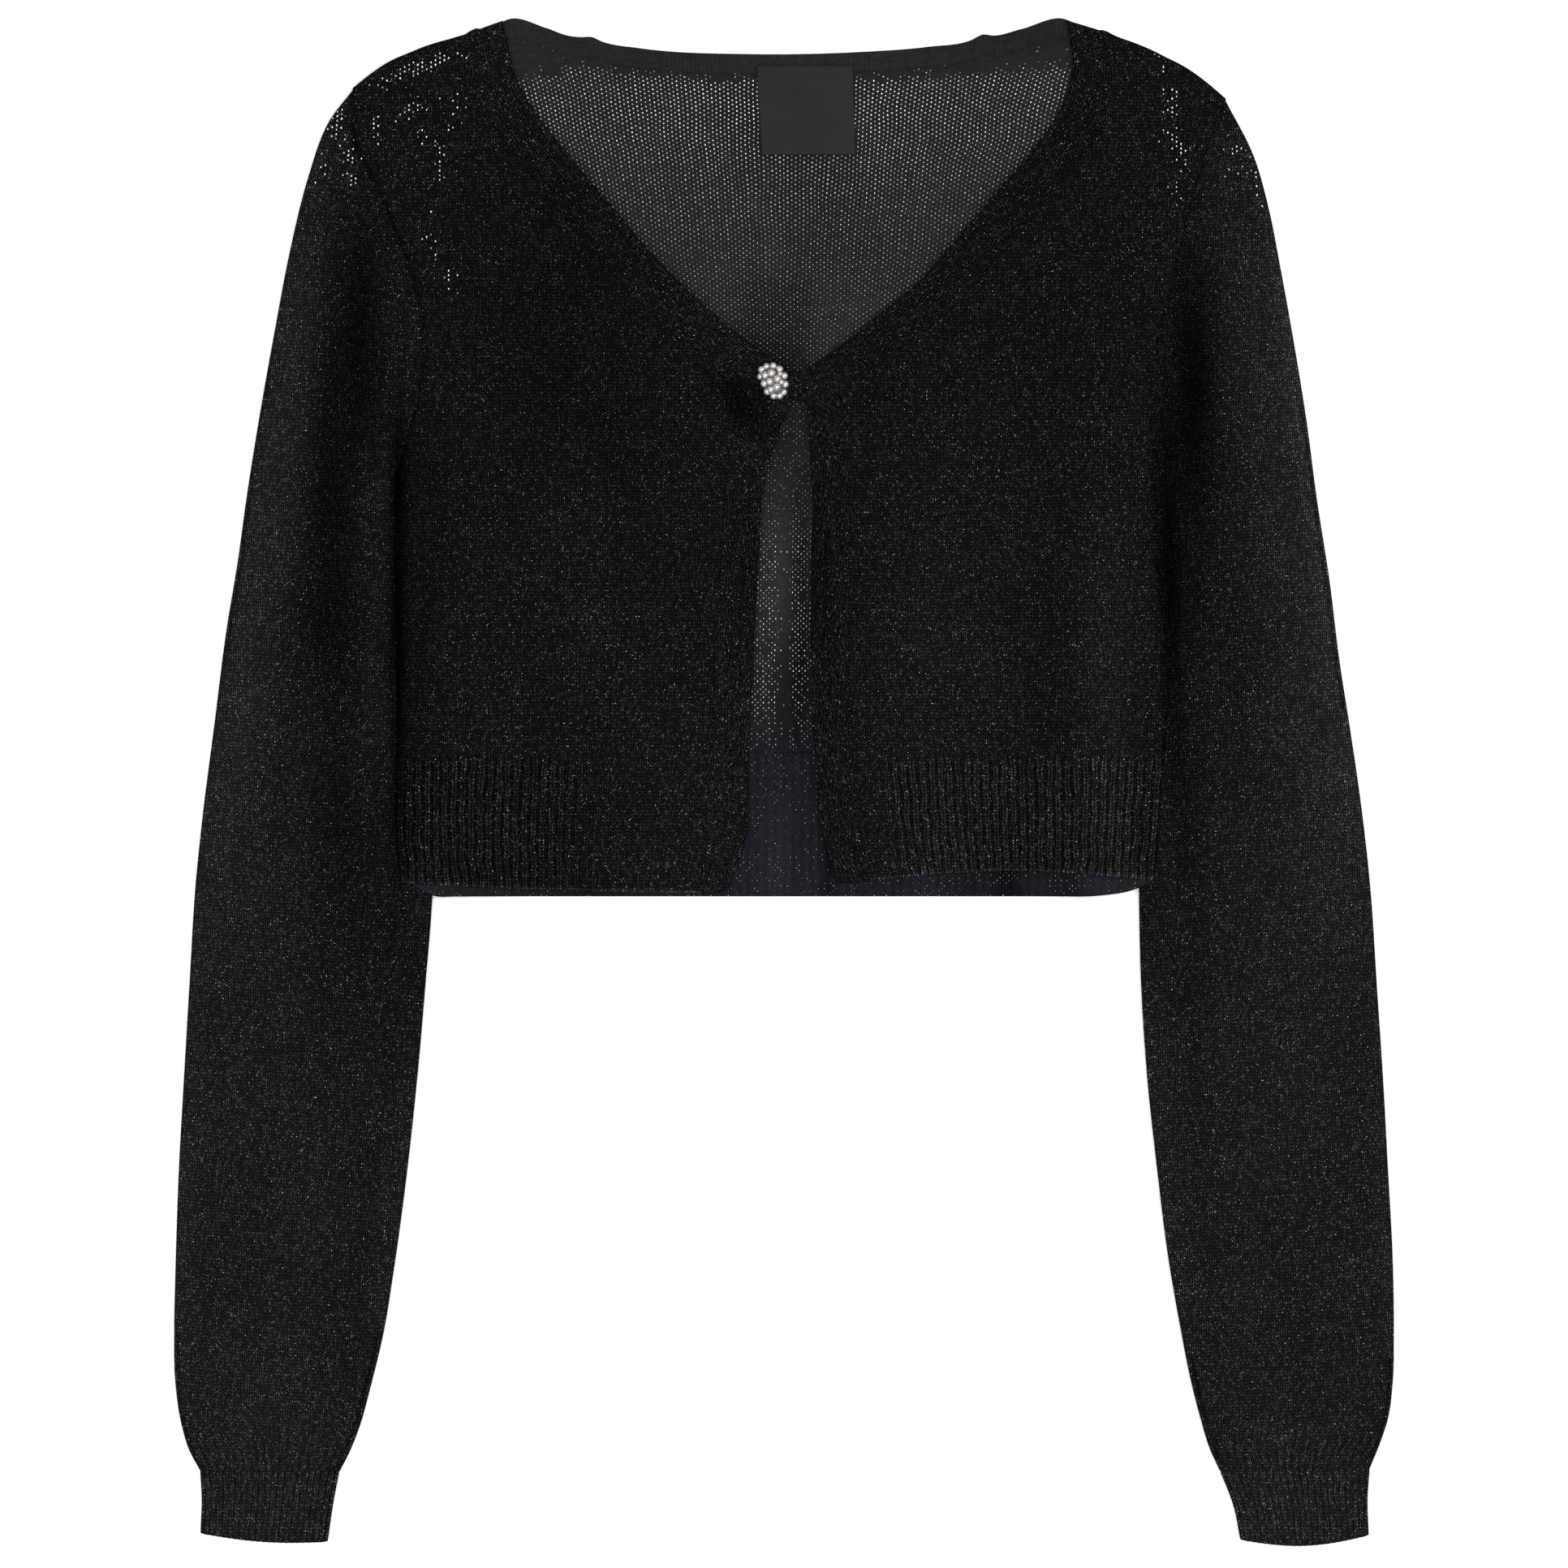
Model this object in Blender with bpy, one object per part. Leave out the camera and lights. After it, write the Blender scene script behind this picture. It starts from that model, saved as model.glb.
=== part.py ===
"""A cropped V-neck cardigan in fine metallic knit, laid flat on its back with its one button fastened.

+X is the viewer's right, which is the wearer's left. +Y runs from the hem to the neck, and +Z is up
from the table. Right and left in names are the wearer's own. Sizes and tables are in millimetres,
and each mesh is scaled to metres when it is made.
"""

import math
from collections import namedtuple

import bmesh
import bpy
from mathutils import Matrix, Vector

MM = 0.001

# Cloth
WALL = 1.5  # thickness of the knit
GAP = 0.3  # between two pieces at a seam
STACK = WALL + GAP  # from one laid layer to the next

# Ribs and band ridges, raised in the outer face only
HEM_RIB_PITCH = 3.8
HEM_RIB_RISE = 0.7
HEM_RIB_FADE = 16.0  # the ribs die out over this width beside the front band
CUFF_RIB_COUNT = 16
CUFF_RIB_RISE = 0.6
BAND_RIDGES = 5
BAND_RIDGE_RISE = 0.45
RIB_PROFILE = ((0.0, 0.0), (0.3, 1.0), (0.7, 1.0))  # place in the pitch, share of the rise
RIDGE_PROFILE = ((0.0, 0.0), (0.5, 1.0))

# How the body lies
PUFF = 2.4  # air between back and front, away from the edges
PUFF_EDGE = (4.0, 50.0)  # distance from the side edge where the puff starts, and where it is full
PUFF_SHOULDER = (4.0, 70.0)  # the same, below the shoulder line
PUFF_HEM_SHARE = 0.35  # of the puff that is left at the hem's edge
PUFF_HEM = (-45.0, 20.0)  # heights between which the puff grows to its full size
SLEEVE_EDGE = 4.0  # height of a sleeve's folded edge
LIFT = SLEEVE_EDGE + GAP  # of the body's side, which lies on the sleeve
LIFT_REACH = (18.0, 60.0)  # distance from the side edge with the full lift, and with none
SIDE_STATIONS = (0.0, 9.0, 18.0, 27.0, 36.0, 45.0, 54.0)  # columns beside a side edge
FULL_ROW = 120.0  # a shorter row has these columns closer together
FRONT_MIDDLE = (0.25, 0.5, 0.75)
BACK_HEM_MIDDLES = (0.2, 0.4, 0.6, 0.8)
HEM_SEAM_Y = 12.0
ARMHOLE_ROWS = 12
BACK_ARMHOLE_DEPTH = 0.75  # the back armhole is scooped less than the front one

# The lap at the button
BUTTON_AT = (-4.4, 167.3)
LAP = STACK + BAND_RIDGE_RISE  # the right front rises this much over the left one
LAP_REACH = (13.0, 36.0)  # distance from the button with the full rise, and with none
BUTTONHOLE = (10.0, 2.8, 8.0)  # length and width of the slit, and how deep its cutter goes
BUTTONHOLE_TURN = math.radians(-36)

# The button: a dome covered in pearl beads
BUTTON_DOME = (10.6, 13.2, 4.2)  # full width, length and height
DOME_CUT = 0.02  # where its flat back is, as a share of its height
BUTTON_TILT = math.radians(12.5)
SHANK_RADIUS = 1.2
SHANK_SET = 1.0  # how far the shank goes into the dome
BEAD = 2.6
BEAD_SEAT = 0.7  # height of the lowest beads over the dome's flat back
BEAD_RINGS = ((12, 0.97, 0.05), (7, 0.56, 0.68), (1, 0.0, 0.86))  # beads, share of radius, of height

# The label
LABEL_CORNERS = (-11.5, 263.0, 29.0, 300.5)  # low x, low y, high x, high y
LABEL_SLANT = 2.0  # its lower edge stands this far to the right
LABEL_WALL = 1.0
NECKBAND_HEIGHT = 8.5
NECKBAND_WALL = 1.9  # a doubled strip

BLACK_KNIT = (0.012, 0.012, 0.014)
CHARCOAL_KNIT = (0.035, 0.035, 0.038)
LABEL_BLACK = (0.01, 0.01, 0.011)
PEARL = (0.72, 0.71, 0.68)


def table(columns, *rows):
    """Rows of numbers whose columns can be read by name."""
    row_type = namedtuple("Row", columns)
    return [row_type(*row) for row in rows]


# Edge of the armhole from the shoulder tip to the underarm
ARMHOLE = {
    "right": table(
        "x y",
        (-181.0, 291.0),
        (-181.0, 271.5),
        (-175.5, 259.5),
        (-169.5, 247.5),
        (-162.5, 229.0),
        (-156.5, 214.0),
        (-153.0, 200.0),
        (-151.5, 187.0),
        (-151.5, 174.0),
        (-153.5, 161.0),
        (-157.0, 152.0),
        (-162.0, 144.0),
    ),
    "left": table(
        "x y",
        (185.5, 286.5),
        (180.0, 271.5),
        (175.0, 257.5),
        (171.0, 241.5),
        (167.0, 227.0),
        (163.5, 213.0),
        (160.5, 199.5),
        (157.5, 186.5),
        (155.3, 174.0),
        (154.3, 161.5),
        (154.5, 149.0),
        (156.0, 135.5),
    ),
}
# Side edge of the body below the underarm, down to the hem seam
SIDE = {
    "right": table(
        "x y",
        (-162.4, 137.0),
        (-162.8, 130.0),
        (-163.0, 123.5),
        (-163.0, 117.5),
        (-163.0, 93.0),
        (-162.5, 65.0),
        (-162.0, 38.0),
        (-162.0, HEM_SEAM_Y),
    ),
    "left": table(
        "x y",
        (155.9, 129.0),
        (155.7, 122.5),
        (155.6, 116.0),
        (155.5, 109.5),
        (156.5, 88.0),
        (159.3, 63.0),
        (160.5, 38.0),
        (159.0, HEM_SEAM_Y),
    ),
}
# Heights between which the body's side climbs onto the sleeve
LIFT_FROM = {"right": (142.0, 119.0), "left": (133.5, 111.0)}
# Front bands: the free edge, and the seam to the panel. A row of the band is a row of the panel
BAND = {
    "right": table(
        "free_x free_y seam_x seam_y",
        (-118.0, 319.3, -134.5, 313.3),
        (-111.5, 293.5, -128.5, 288.0),
        (-100.0, 275.0, -115.3, 265.5),
        (-86.5, 258.0, -100.7, 247.0),
        (-72.5, 241.5, -86.2, 229.8),
        (-60.0, 226.5, -73.2, 214.3),
        (-46.5, 212.0, -59.3, 199.3),
        (-31.5, 198.0, -43.7, 184.8),
        (-16.5, 185.5, -30.0, 173.0),
        (-5.5, 177.7, -23.5, 166.5),
        (1.5, 173.2, -20.5, 162.0),
        (4.6, 168.8, -19.0, 157.6),
        (2.8, 159.5, -18.3, 153.0),
        (-0.5, 149.5, -18.3, 147.5),
        (-4.0, 140.5, -19.5, 140.5),
        (-7.0, 131.5, -21.8, 132.5),
        (-9.0, 119.5, -24.5, 121.0),
        (-10.5, 93.0, -26.3, 94.0),
        (-12.3, 65.0, -28.2, 65.5),
        (-13.5, 38.0, -29.4, 38.2),
        (-15.3, 12.0, -31.0, 12.0),
        (-19.0, -34.0, -34.4, -36.0),
        (-24.5, -46.0, -35.0, -46.8),
    ),
    "left": table(
        "free_x free_y seam_x seam_y",
        (118.5, 319.5, 135.5, 314.3),
        (121.0, 303.0, 138.8, 300.5),
        (114.5, 279.5, 131.2, 272.3),
        (102.5, 262.5, 117.0, 252.0),
        (88.0, 245.5, 101.5, 233.5),
        (72.5, 227.5, 85.5, 215.0),
        (57.5, 210.5, 69.0, 197.0),
        (39.5, 195.5, 50.5, 182.5),
        (22.0, 181.3, 35.0, 171.5),
        (6.5, 171.8, 28.5, 166.8),
        (-5.5, 169.8, 26.0, 164.0),
        (-7.8, 166.6, 24.5, 161.0),
        (-5.5, 163.4, 23.4, 158.0),
        (8.4, 160.0, 23.0, 153.0),
        (10.2, 151.5, 23.8, 145.5),
        (11.0, 139.0, 25.8, 136.0),
        (12.0, 120.0, 28.0, 119.5),
        (11.5, 93.0, 27.6, 93.0),
        (11.2, 65.0, 27.2, 65.0),
        (11.6, 38.0, 27.6, 38.0),
        (13.2, 12.0, 29.0, 12.0),
        (18.8, -31.0, 34.4, -32.0),
        (23.5, -42.5, 36.5, -41.5),
    ),
}
SHOULDER_BOW = 3.9  # how far the shoulder line arches
SHOULDER_ROWS = 5  # the arch dies out over this many rows of a front
HEM_MIDDLE = {"right": (-161.8, -28.0), "left": (156.2, -25.0)}
HEM_CORNER = {"right": (-160.5, -42.5), "left": (155.0, -41.5)}
BACK_HEM_MIDDLE = {"right": (-160.0, -28.0), "left": (155.8, -25.0)}
HEM_BOW = {"right": -0.8, "left": 4.0}  # the front hem's lower edge sags or arches
# Top edge of the back neck
BACK_NECK = table(
    "x y",
    (-115.5, 320.3),
    (-100.0, 316.6),
    (-84.0, 312.6),
    (-60.0, 308.0),
    (-15.0, 305.6),
    (30.0, 306.4),
    (60.0, 308.6),
    (84.0, 313.8),
    (100.0, 316.2),
    (118.0, 320.3),
)
# Lower edge of the back
BACK_HEM = table(
    "x y",
    (-155.5, -43.5),
    (-147.0, -47.9),
    (-138.0, -48.2),
    (131.0, -48.2),
    (148.0, -45.4),
    (153.5, -42.5),
)
# Sleeve sections from the armhole to the cuff seam: the outer fold, the inner fold, how far the top
# rises over the folded edges, and how wide a strip beside the inner fold stays pressed down
SLEEVE = {
    "right": table(
        "out_x out_y in_x in_y rise pressed bow",
        (-181.4, 291.0, -162.5, 144.0, 0.0, 2.0, 1.0),
        (-191.0, 277.0, -163.4, 138.0, 0.9, 2.0, 0.88),
        (-200.0, 252.5, -163.7, 131.0, 2.2, 2.0, 0.66),
        (-207.5, 222.0, -163.8, 124.0, 3.6, 4.0, 0.4),
        (-214.0, 188.0, -163.5, 117.0, 4.8, 6.0, 0.16),
        (-220.5, 151.5, -158.5, 105.0, 5.5, 12.0, 0.0),
        (-225.5, 120.0, -153.0, 91.0, 5.8, 17.0, 0.0),
        (-229.0, 94.5, -149.8, 75.0, 5.8, 19.0, 0.0),
        (-234.0, 64.0, -148.2, 52.0, 5.6, 19.0, 0.0),
        (-239.0, 25.0, -147.6, 18.0, 5.4, 19.0, 0.0),
        (-244.0, -14.0, -147.4, -18.0, 5.2, 19.0, 0.0),
        (-247.0, -43.0, -147.6, -47.0, 5.0, 18.0, 0.0),
        (-249.5, -83.5, -150.4, -84.0, 5.0, 8.0, 0.0),
        (-252.0, -126.0, -154.0, -125.0, 5.0, 4.0, 0.0),
        (-254.0, -162.0, -158.0, -162.0, 4.9, 3.0, 0.0),
        (-255.5, -206.5, -164.0, -206.5, 4.8, 3.0, 0.0),
        (-256.0, -230.0, -168.0, -231.0, 4.6, 3.0, 0.0),
        (-255.5, -252.5, -173.5, -254.0, 4.2, 3.0, 0.0),
        (-253.0, -269.5, -178.2, -271.0, 3.4, 3.0, 0.0),
        (-249.5, -281.0, -182.6, -282.0, 2.0, 3.0, 0.0),
        (-245.2, -289.0, -186.5, -289.5, 0.6, 3.0, 0.0),
    ),
    "left": table(
        "out_x out_y in_x in_y rise pressed bow",
        (185.9, 286.5, 156.5, 135.5, 0.0, 2.0, 1.0),
        (197.0, 263.0, 157.1, 129.5, 0.9, 2.0, 0.86),
        (203.0, 242.5, 157.0, 123.0, 2.2, 2.0, 0.62),
        (208.5, 215.0, 156.6, 116.5, 3.4, 4.0, 0.36),
        (214.0, 184.5, 156.2, 109.5, 4.4, 6.0, 0.14),
        (219.5, 150.5, 153.3, 98.0, 5.2, 10.0, 0.0),
        (223.5, 120.0, 151.0, 84.0, 5.6, 14.0, 0.0),
        (229.0, 84.5, 149.8, 64.0, 5.8, 16.0, 0.0),
        (233.0, 52.0, 149.3, 40.0, 5.8, 16.0, 0.0),
        (237.5, 23.0, 149.0, 15.0, 5.6, 18.0, 0.0),
        (241.5, -4.0, 149.0, -10.0, 5.4, 18.0, 0.0),
        (246.0, -43.0, 149.0, -46.5, 5.2, 14.0, 0.0),
        (249.0, -87.5, 150.0, -88.0, 5.0, 6.0, 0.0),
        (251.5, -125.0, 152.5, -125.0, 5.0, 4.0, 0.0),
        (253.5, -162.0, 156.5, -162.0, 4.9, 3.0, 0.0),
        (255.5, -200.0, 161.3, -200.0, 4.8, 3.0, 0.0),
        (256.0, -230.0, 166.5, -230.0, 4.6, 3.0, 0.0),
        (255.5, -252.5, 171.0, -252.5, 4.2, 3.0, 0.0),
        (253.5, -267.5, 175.0, -268.0, 3.4, 3.0, 0.0),
        (249.5, -279.5, 178.7, -280.0, 2.0, 3.0, 0.0),
        (246.0, -288.0, 182.8, -289.0, 0.6, 3.0, 0.0),
    ),
}
CUFF = {
    "right": table(
        "out_x out_y in_x in_y bow",
        (-245.1, -289.4, -186.7, -289.9, 0.0),
        (-244.5, -301.5, -189.3, -303.5, -1.2),
        (-245.0, -315.0, -191.5, -317.0, -3.6),
    ),
    "left": table(
        "out_x out_y in_x in_y bow",
        (245.9, -288.4, 183.0, -289.4, 0.0),
        (245.0, -301.5, 188.5, -303.5, -1.2),
        (245.5, -316.0, 191.5, -318.0, -3.4),
    ),
}
# Soft lengthwise folds: a line from one end to the other, its half width, and its rise or depth
SLEEVE_FOLDS = table(
    "top_x top_y low_x low_y half_width rise",
    (-184.0, 165.0, -186.0, -60.0, 15.0, -3.0),
    (-203.0, 215.0, -196.0, 120.0, 13.0, -1.4),
    (-187.0, -60.0, -196.0, -262.0, 11.0, -1.0),
    (-232.0, -100.0, -236.0, -255.0, 12.0, -0.7),
    (172.0, 205.0, 178.0, 60.0, 13.0, -1.8),
    (196.0, 40.0, 204.0, -120.0, 16.0, -1.1),
    (186.0, -150.0, 200.0, -268.0, 11.0, -1.0),
    (226.0, -170.0, 230.0, -268.0, 11.0, -0.8),
)
BODY_FOLDS = table(
    "top_x top_y low_x low_y half_width rise",
    (-132.0, 110.0, -128.0, -30.0, 14.0, -0.9),
    (-112.0, 90.0, -110.0, -20.0, 13.0, 1.0),
    (-76.0, 110.0, -78.0, -45.0, 16.0, -0.9),
    (-42.0, 100.0, -46.0, -20.0, 12.0, 0.8),
    (110.0, 100.0, 112.0, 0.0, 14.0, -1.0),
    (86.0, 110.0, 80.0, -30.0, 15.0, 0.9),
    (44.0, 120.0, 46.0, -10.0, 12.0, -0.7),
    (128.0, 60.0, 124.0, -40.0, 12.0, 0.7),
)
TOP_STATIONS = tuple(n / ARMHOLE_ROWS for n in range(1, ARMHOLE_ROWS))
UNDER_STATIONS = tuple(n / ARMHOLE_ROWS for n in (1, 2, 4, 6, 8, 10))
ROUNDING = (0.3, 1.0)  # places on a folded edge, as shares of its radius
SLEEVE_FULLNESS = 0.7  # under 1 makes the sleeve fuller towards its folds
CUFF_HEIGHT = 3.6
CUFF_UNDERS = (0.25, 0.5, 0.75)


def clamp(value):
    return min(max(value, 0.0), 1.0)


def ramp(value, start, full):
    """A smooth step from 0 at start to 1 at full."""
    share = clamp((value - start) / (full - start))
    return share * share * (3 - 2 * share)


def between(a, b, share):
    return a + (b - a) * share


def plan(row, prefix=""):
    """The plan point that a row holds under the columns PREFIXx and PREFIXy."""
    return Vector((getattr(row, prefix + "x"), getattr(row, prefix + "y")))


def along(rows, share):
    """A point on the smooth curve through the rows' x and y, at a share of its length."""
    points = [plan(row) for row in rows]
    steps = [(b - a).length for a, b in zip(points, points[1:])]
    left = share * sum(steps)
    last = len(steps) - 1
    n = 0
    while n < last and left > steps[n]:
        left -= steps[n]
        n += 1
    t = clamp(left / steps[n])
    a, b = points[n], points[n + 1]
    before = points[n - 1] if n > 0 else a
    after = points[n + 2] if n < last else b
    return 0.5 * (
        2 * a
        + (b - before) * t
        + (2 * before - 5 * a + 4 * b - after) * t**2
        + (3 * a - before - 3 * b + after) * t**3
    )


def armhole(side, share, depth=1.0):
    """A point on the armhole, from the shoulder tip at 0 to the underarm at 1."""
    curve = along(ARMHOLE[side], share)
    chord = plan(ARMHOLE[side][0]).lerp(plan(ARMHOLE[side][-1]), share)
    return chord.lerp(curve, depth)


def body_edge(side, depth=1.0):
    """The outer edge of a body panel, a point for each of its rows."""
    upper = [armhole(side, n / ARMHOLE_ROWS, depth) for n in range(ARMHOLE_ROWS + 1)]
    return upper + [plan(row) for row in SIDE[side]]


def edge_x(side, y):
    """How far the body reaches sideways at a height, as a distance from the middle."""
    edge = body_edge(side)
    if y >= edge[0].y:
        return abs(edge[0].x)
    for high, low in zip(edge, edge[1:]):
        if low.y <= y <= high.y:
            return abs(between(high.x, low.x, (high.y - y) / (high.y - low.y)))
    return abs(edge[-1].x)


def shoulder_y(side, x):
    """Height of the shoulder line, from the tip over the band to the neck."""
    tip, neck = ARMHOLE[side][0], BAND[side][0]
    share = (abs(tip.x) - abs(x)) / (abs(tip.x) - abs(neck.seam_x))
    if share < 1:
        return between(tip.y, neck.seam_y, clamp(share)) + SHOULDER_BOW * math.sin(math.pi * clamp(share))
    return between(neck.seam_y, neck.free_y, clamp((neck.seam_x - x) / (neck.seam_x - neck.free_x)))


def folds(rows, x, y):
    """The soft ridges and troughs of a table, summed at a point."""
    total = 0.0
    for fold in rows:
        share = (fold.top_y - y) / (fold.top_y - fold.low_y)
        if not 0 < share < 1:
            continue
        offset = (x - between(fold.top_x, fold.low_x, share)) / fold.half_width
        if abs(offset) < 1:
            total += fold.rise * math.cos(offset * math.pi / 2) ** 2 * math.sin(share * math.pi) ** 0.7
    return total


def back_under(x, y):
    """Height of the back's underside: on the table, and up on the sleeves beside its side edges."""
    side = "right" if x < 0 else "left"
    inset = edge_x(side, y) - abs(x)
    return LIFT * (1 - ramp(inset, *LIFT_REACH)) * ramp(-y, -LIFT_FROM[side][0], -LIFT_FROM[side][1])


def front_under(x, y):
    """Height of the fronts' underside: on the back, with air and soft folds away from the edges."""
    side = "right" if x < 0 else "left"
    inset = edge_x(side, y) - abs(x)
    puff = PUFF * between(PUFF_HEM_SHARE, 1.0, ramp(y, *PUFF_HEM))
    loose = ramp(inset, *PUFF_EDGE) * ramp(shoulder_y(side, x) - y, *PUFF_SHOULDER)
    return back_under(x, y) + STACK + loose * (puff + folds(BODY_FOLDS, x, y))


def right_front_under(x, y):
    """As front_under, and up over the left front's band round the button."""
    reach = (Vector((x, y)) - Vector(BUTTON_AT)).length
    return front_under(x, y) + LAP * (1 - ramp(reach, *LAP_REACH))


FRONT_UNDER = {"right": right_front_under, "left": front_under}


def clear_scene():
    for item in list(bpy.data.objects):
        bpy.data.objects.remove(item, do_unlink=True)


def collection(name):
    made = bpy.data.collections.new(name)
    bpy.context.scene.collection.children.link(made)
    return made


def material(name, colour, roughness, metallic=0.0):
    made = bpy.data.materials.new(name)
    made.use_nodes = True
    shader = made.node_tree.nodes["Principled BSDF"]
    shader.inputs["Base Color"].default_value = (*colour, 1.0)
    shader.inputs["Roughness"].default_value = roughness
    shader.inputs["Metallic"].default_value = metallic
    return made


def add_object(bm, name, finish, group, smooth_angle=40):
    """Makes an object from a mesh in millimetres, with its faces turned outwards."""
    bmesh.ops.scale(bm, vec=(MM, MM, MM), verts=bm.verts[:])
    bmesh.ops.recalc_face_normals(bm, faces=bm.faces[:])
    mesh = bpy.data.meshes.new(name)
    bm.to_mesh(mesh)
    bm.free()
    mesh.shade_smooth()
    mesh.set_sharp_from_angle(angle=math.radians(smooth_angle))
    mesh.materials.append(finish)
    made = bpy.data.objects.new(name, mesh)
    group.objects.link(made)
    return made


def grid_mesh(points):
    """A grid of faces through rows of points, with each vertex's row and column kept in two layers."""
    rows, columns = len(points), len(points[0])
    bm = bmesh.new()
    bmesh.ops.create_grid(bm, x_segments=columns - 1, y_segments=rows - 1, size=1)
    row_of = bm.verts.layers.int.new("row")
    column_of = bm.verts.layers.int.new("column")
    for vert in bm.verts:
        vert[row_of] = round((1 - vert.co.y) / 2 * (rows - 1))
        vert[column_of] = round((1 + vert.co.x) / 2 * (columns - 1))
    for vert in bm.verts:
        vert.co = points[vert[row_of]][vert[column_of]]
    return bm


def laid_wall(name, finish, group, grid, under, relief=None, wall=WALL):
    """A wall laid on what is below it: a plain underside at under(x, y), and an outer face over it
    that relief(row, column) raises."""
    bm = grid_mesh([[Vector((p.x, p.y, under(p.x, p.y))) for p in row] for row in grid])
    row_of = bm.verts.layers.int["row"]
    column_of = bm.verts.layers.int["column"]
    raised = bmesh.ops.extrude_face_region(bm, geom=bm.faces[:], use_keep_orig=True)
    for vert in raised["geom"]:
        if isinstance(vert, bmesh.types.BMVert):
            extra = relief(vert[row_of], vert[column_of]) if relief else 0.0
            vert.co.z += wall + extra
    return add_object(bm, name, finish, group)


def tube_wall(name, finish, group, outer, inner):
    """A tube's wall: a loft down the outer rings and back up through the inner ones."""
    rings = outer + inner[::-1] + outer[:1]
    bm = grid_mesh([ring + ring[:1] for ring in rings])
    bmesh.ops.remove_doubles(bm, verts=bm.verts[:], dist=0.001)
    return add_object(bm, name, finish, group)


def profile_columns(count, profile):
    """A repeated profile's corners as shares of a width, each with its share of the rise."""
    corners = [((n + place) / count, rise) for n in range(count) for place, rise in profile]
    return corners + [(1.0, 0.0)]


def seam_edge(rows):
    """The panel's edge along the band, a seam's gap away from it."""
    edge = []
    for row in rows:
        seam = plan(row, "seam_")
        edge.append(seam + (seam - plan(row, "free_")).normalized() * GAP)
    return edge


def across(start, end, middle, both_sides=False):
    """Points on a line from a side edge: the side's stations, then shares of the rest, and the same
    stations again before the far end if that is a side edge too."""
    line = end - start
    step = line.normalized()
    scale = min(line.length / FULL_ROW, 1.0)
    near = [d * scale for d in SIDE_STATIONS]
    far = [line.length - d for d in reversed(near)] if both_sides else [line.length]
    distances = near + [between(near[-1], far[0], share) for share in middle] + far
    return [start + step * d for d in distances]


def arch(row, rise):
    """Arches a row of points in +Y, most in its middle."""
    last = len(row) - 1
    return [p + Vector((0, rise * math.sin(math.pi * n / last))) for n, p in enumerate(row)]


def front_panel(side, finish, group):
    outer = body_edge(side)
    inner = seam_edge(BAND[side][: len(outer)])
    grid = []
    for n, (a, b) in enumerate(zip(outer, inner)):
        row = across(a, b, FRONT_MIDDLE)
        grid.append(arch(row, SHOULDER_BOW * max(1 - n / SHOULDER_ROWS, 0)))
    return laid_wall(f"front_{side}_panel", finish, group, grid, FRONT_UNDER[side])


def back_panel(finish, group):
    """The back. Its armhole rows fan out, so that the first one follows the shoulders and the neckband."""
    edges = [body_edge(side, BACK_ARMHOLE_DEPTH) for side in ("right", "left")]
    start = edges[0][0].x + SIDE_STATIONS[-1]
    end = edges[1][0].x - SIDE_STATIONS[-1]
    middle = [(row.x - start) / (end - start) for row in BACK_NECK]
    rows = [across(a, b, middle, both_sides=True) for a, b in zip(*edges)]
    columns = len(SIDE_STATIONS)
    tops = [shoulder_y("right", p.x) for p in rows[0][:columns]]
    tops += [row.y - NECKBAND_HEIGHT - GAP for row in BACK_NECK]
    tops += [shoulder_y("left", p.x) for p in rows[0][-columns:]]
    rises = [top - p.y for top, p in zip(tops, rows[0])]
    grid = []
    for n, row in enumerate(rows):
        share = max(1 - n / ARMHOLE_ROWS, 0)
        grid.append([p + Vector((0, rise * share)) for p, rise in zip(row, rises)])
    return laid_wall("back_panel", finish, group, grid, back_under)


def back_neckband(finish, group):
    top = [plan(row) for row in BACK_NECK]
    low = [p - Vector((0, NECKBAND_HEIGHT)) for p in top]
    return laid_wall("back_neckband", finish, group, [top, low], back_under, wall=NECKBAND_WALL)


def front_band(side, finish, group):
    columns = profile_columns(BAND_RIDGES, RIDGE_PROFILE)
    grid = [[plan(row, "free_").lerp(plan(row, "seam_"), share) for share, _ in columns] for row in BAND[side]]

    def relief(_row, column):
        return BAND_RIDGE_RISE * columns[column][1]

    return laid_wall(f"front_{side}_band", finish, group, grid, FRONT_UNDER[side], relief)


def front_hem(side, finish, group):
    """The rib strip below a front panel. Its ribs fade out beside the band."""
    seam = seam_edge(BAND[side][-3:])
    outer = [plan(SIDE[side][-1]), Vector(HEM_MIDDLE[side]), Vector(HEM_CORNER[side])]
    for edge in (outer, seam):
        edge[0] = edge[0] - Vector((0, GAP))
    width = (seam[0] - outer[0]).length
    columns = profile_columns(round(width / HEM_RIB_PITCH), RIB_PROFILE)
    grid = [[a.lerp(b, share) for share, _ in columns] for a, b in zip(outer, seam)]
    grid[-1] = arch(grid[-1], HEM_BOW[side])

    def relief(_row, column):
        share, rise = columns[column]
        return HEM_RIB_RISE * rise * ramp((1 - share) * width, 0.0, HEM_RIB_FADE)

    return laid_wall(f"front_{side}_hem_rib", finish, group, grid, FRONT_UNDER[side], relief)


def back_hem_y(x):
    for a, b in zip(BACK_HEM, BACK_HEM[1:]):
        if x <= b.x:
            return between(a.y, b.y, (x - a.x) / (b.x - a.x))
    return BACK_HEM[-1].y


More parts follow.
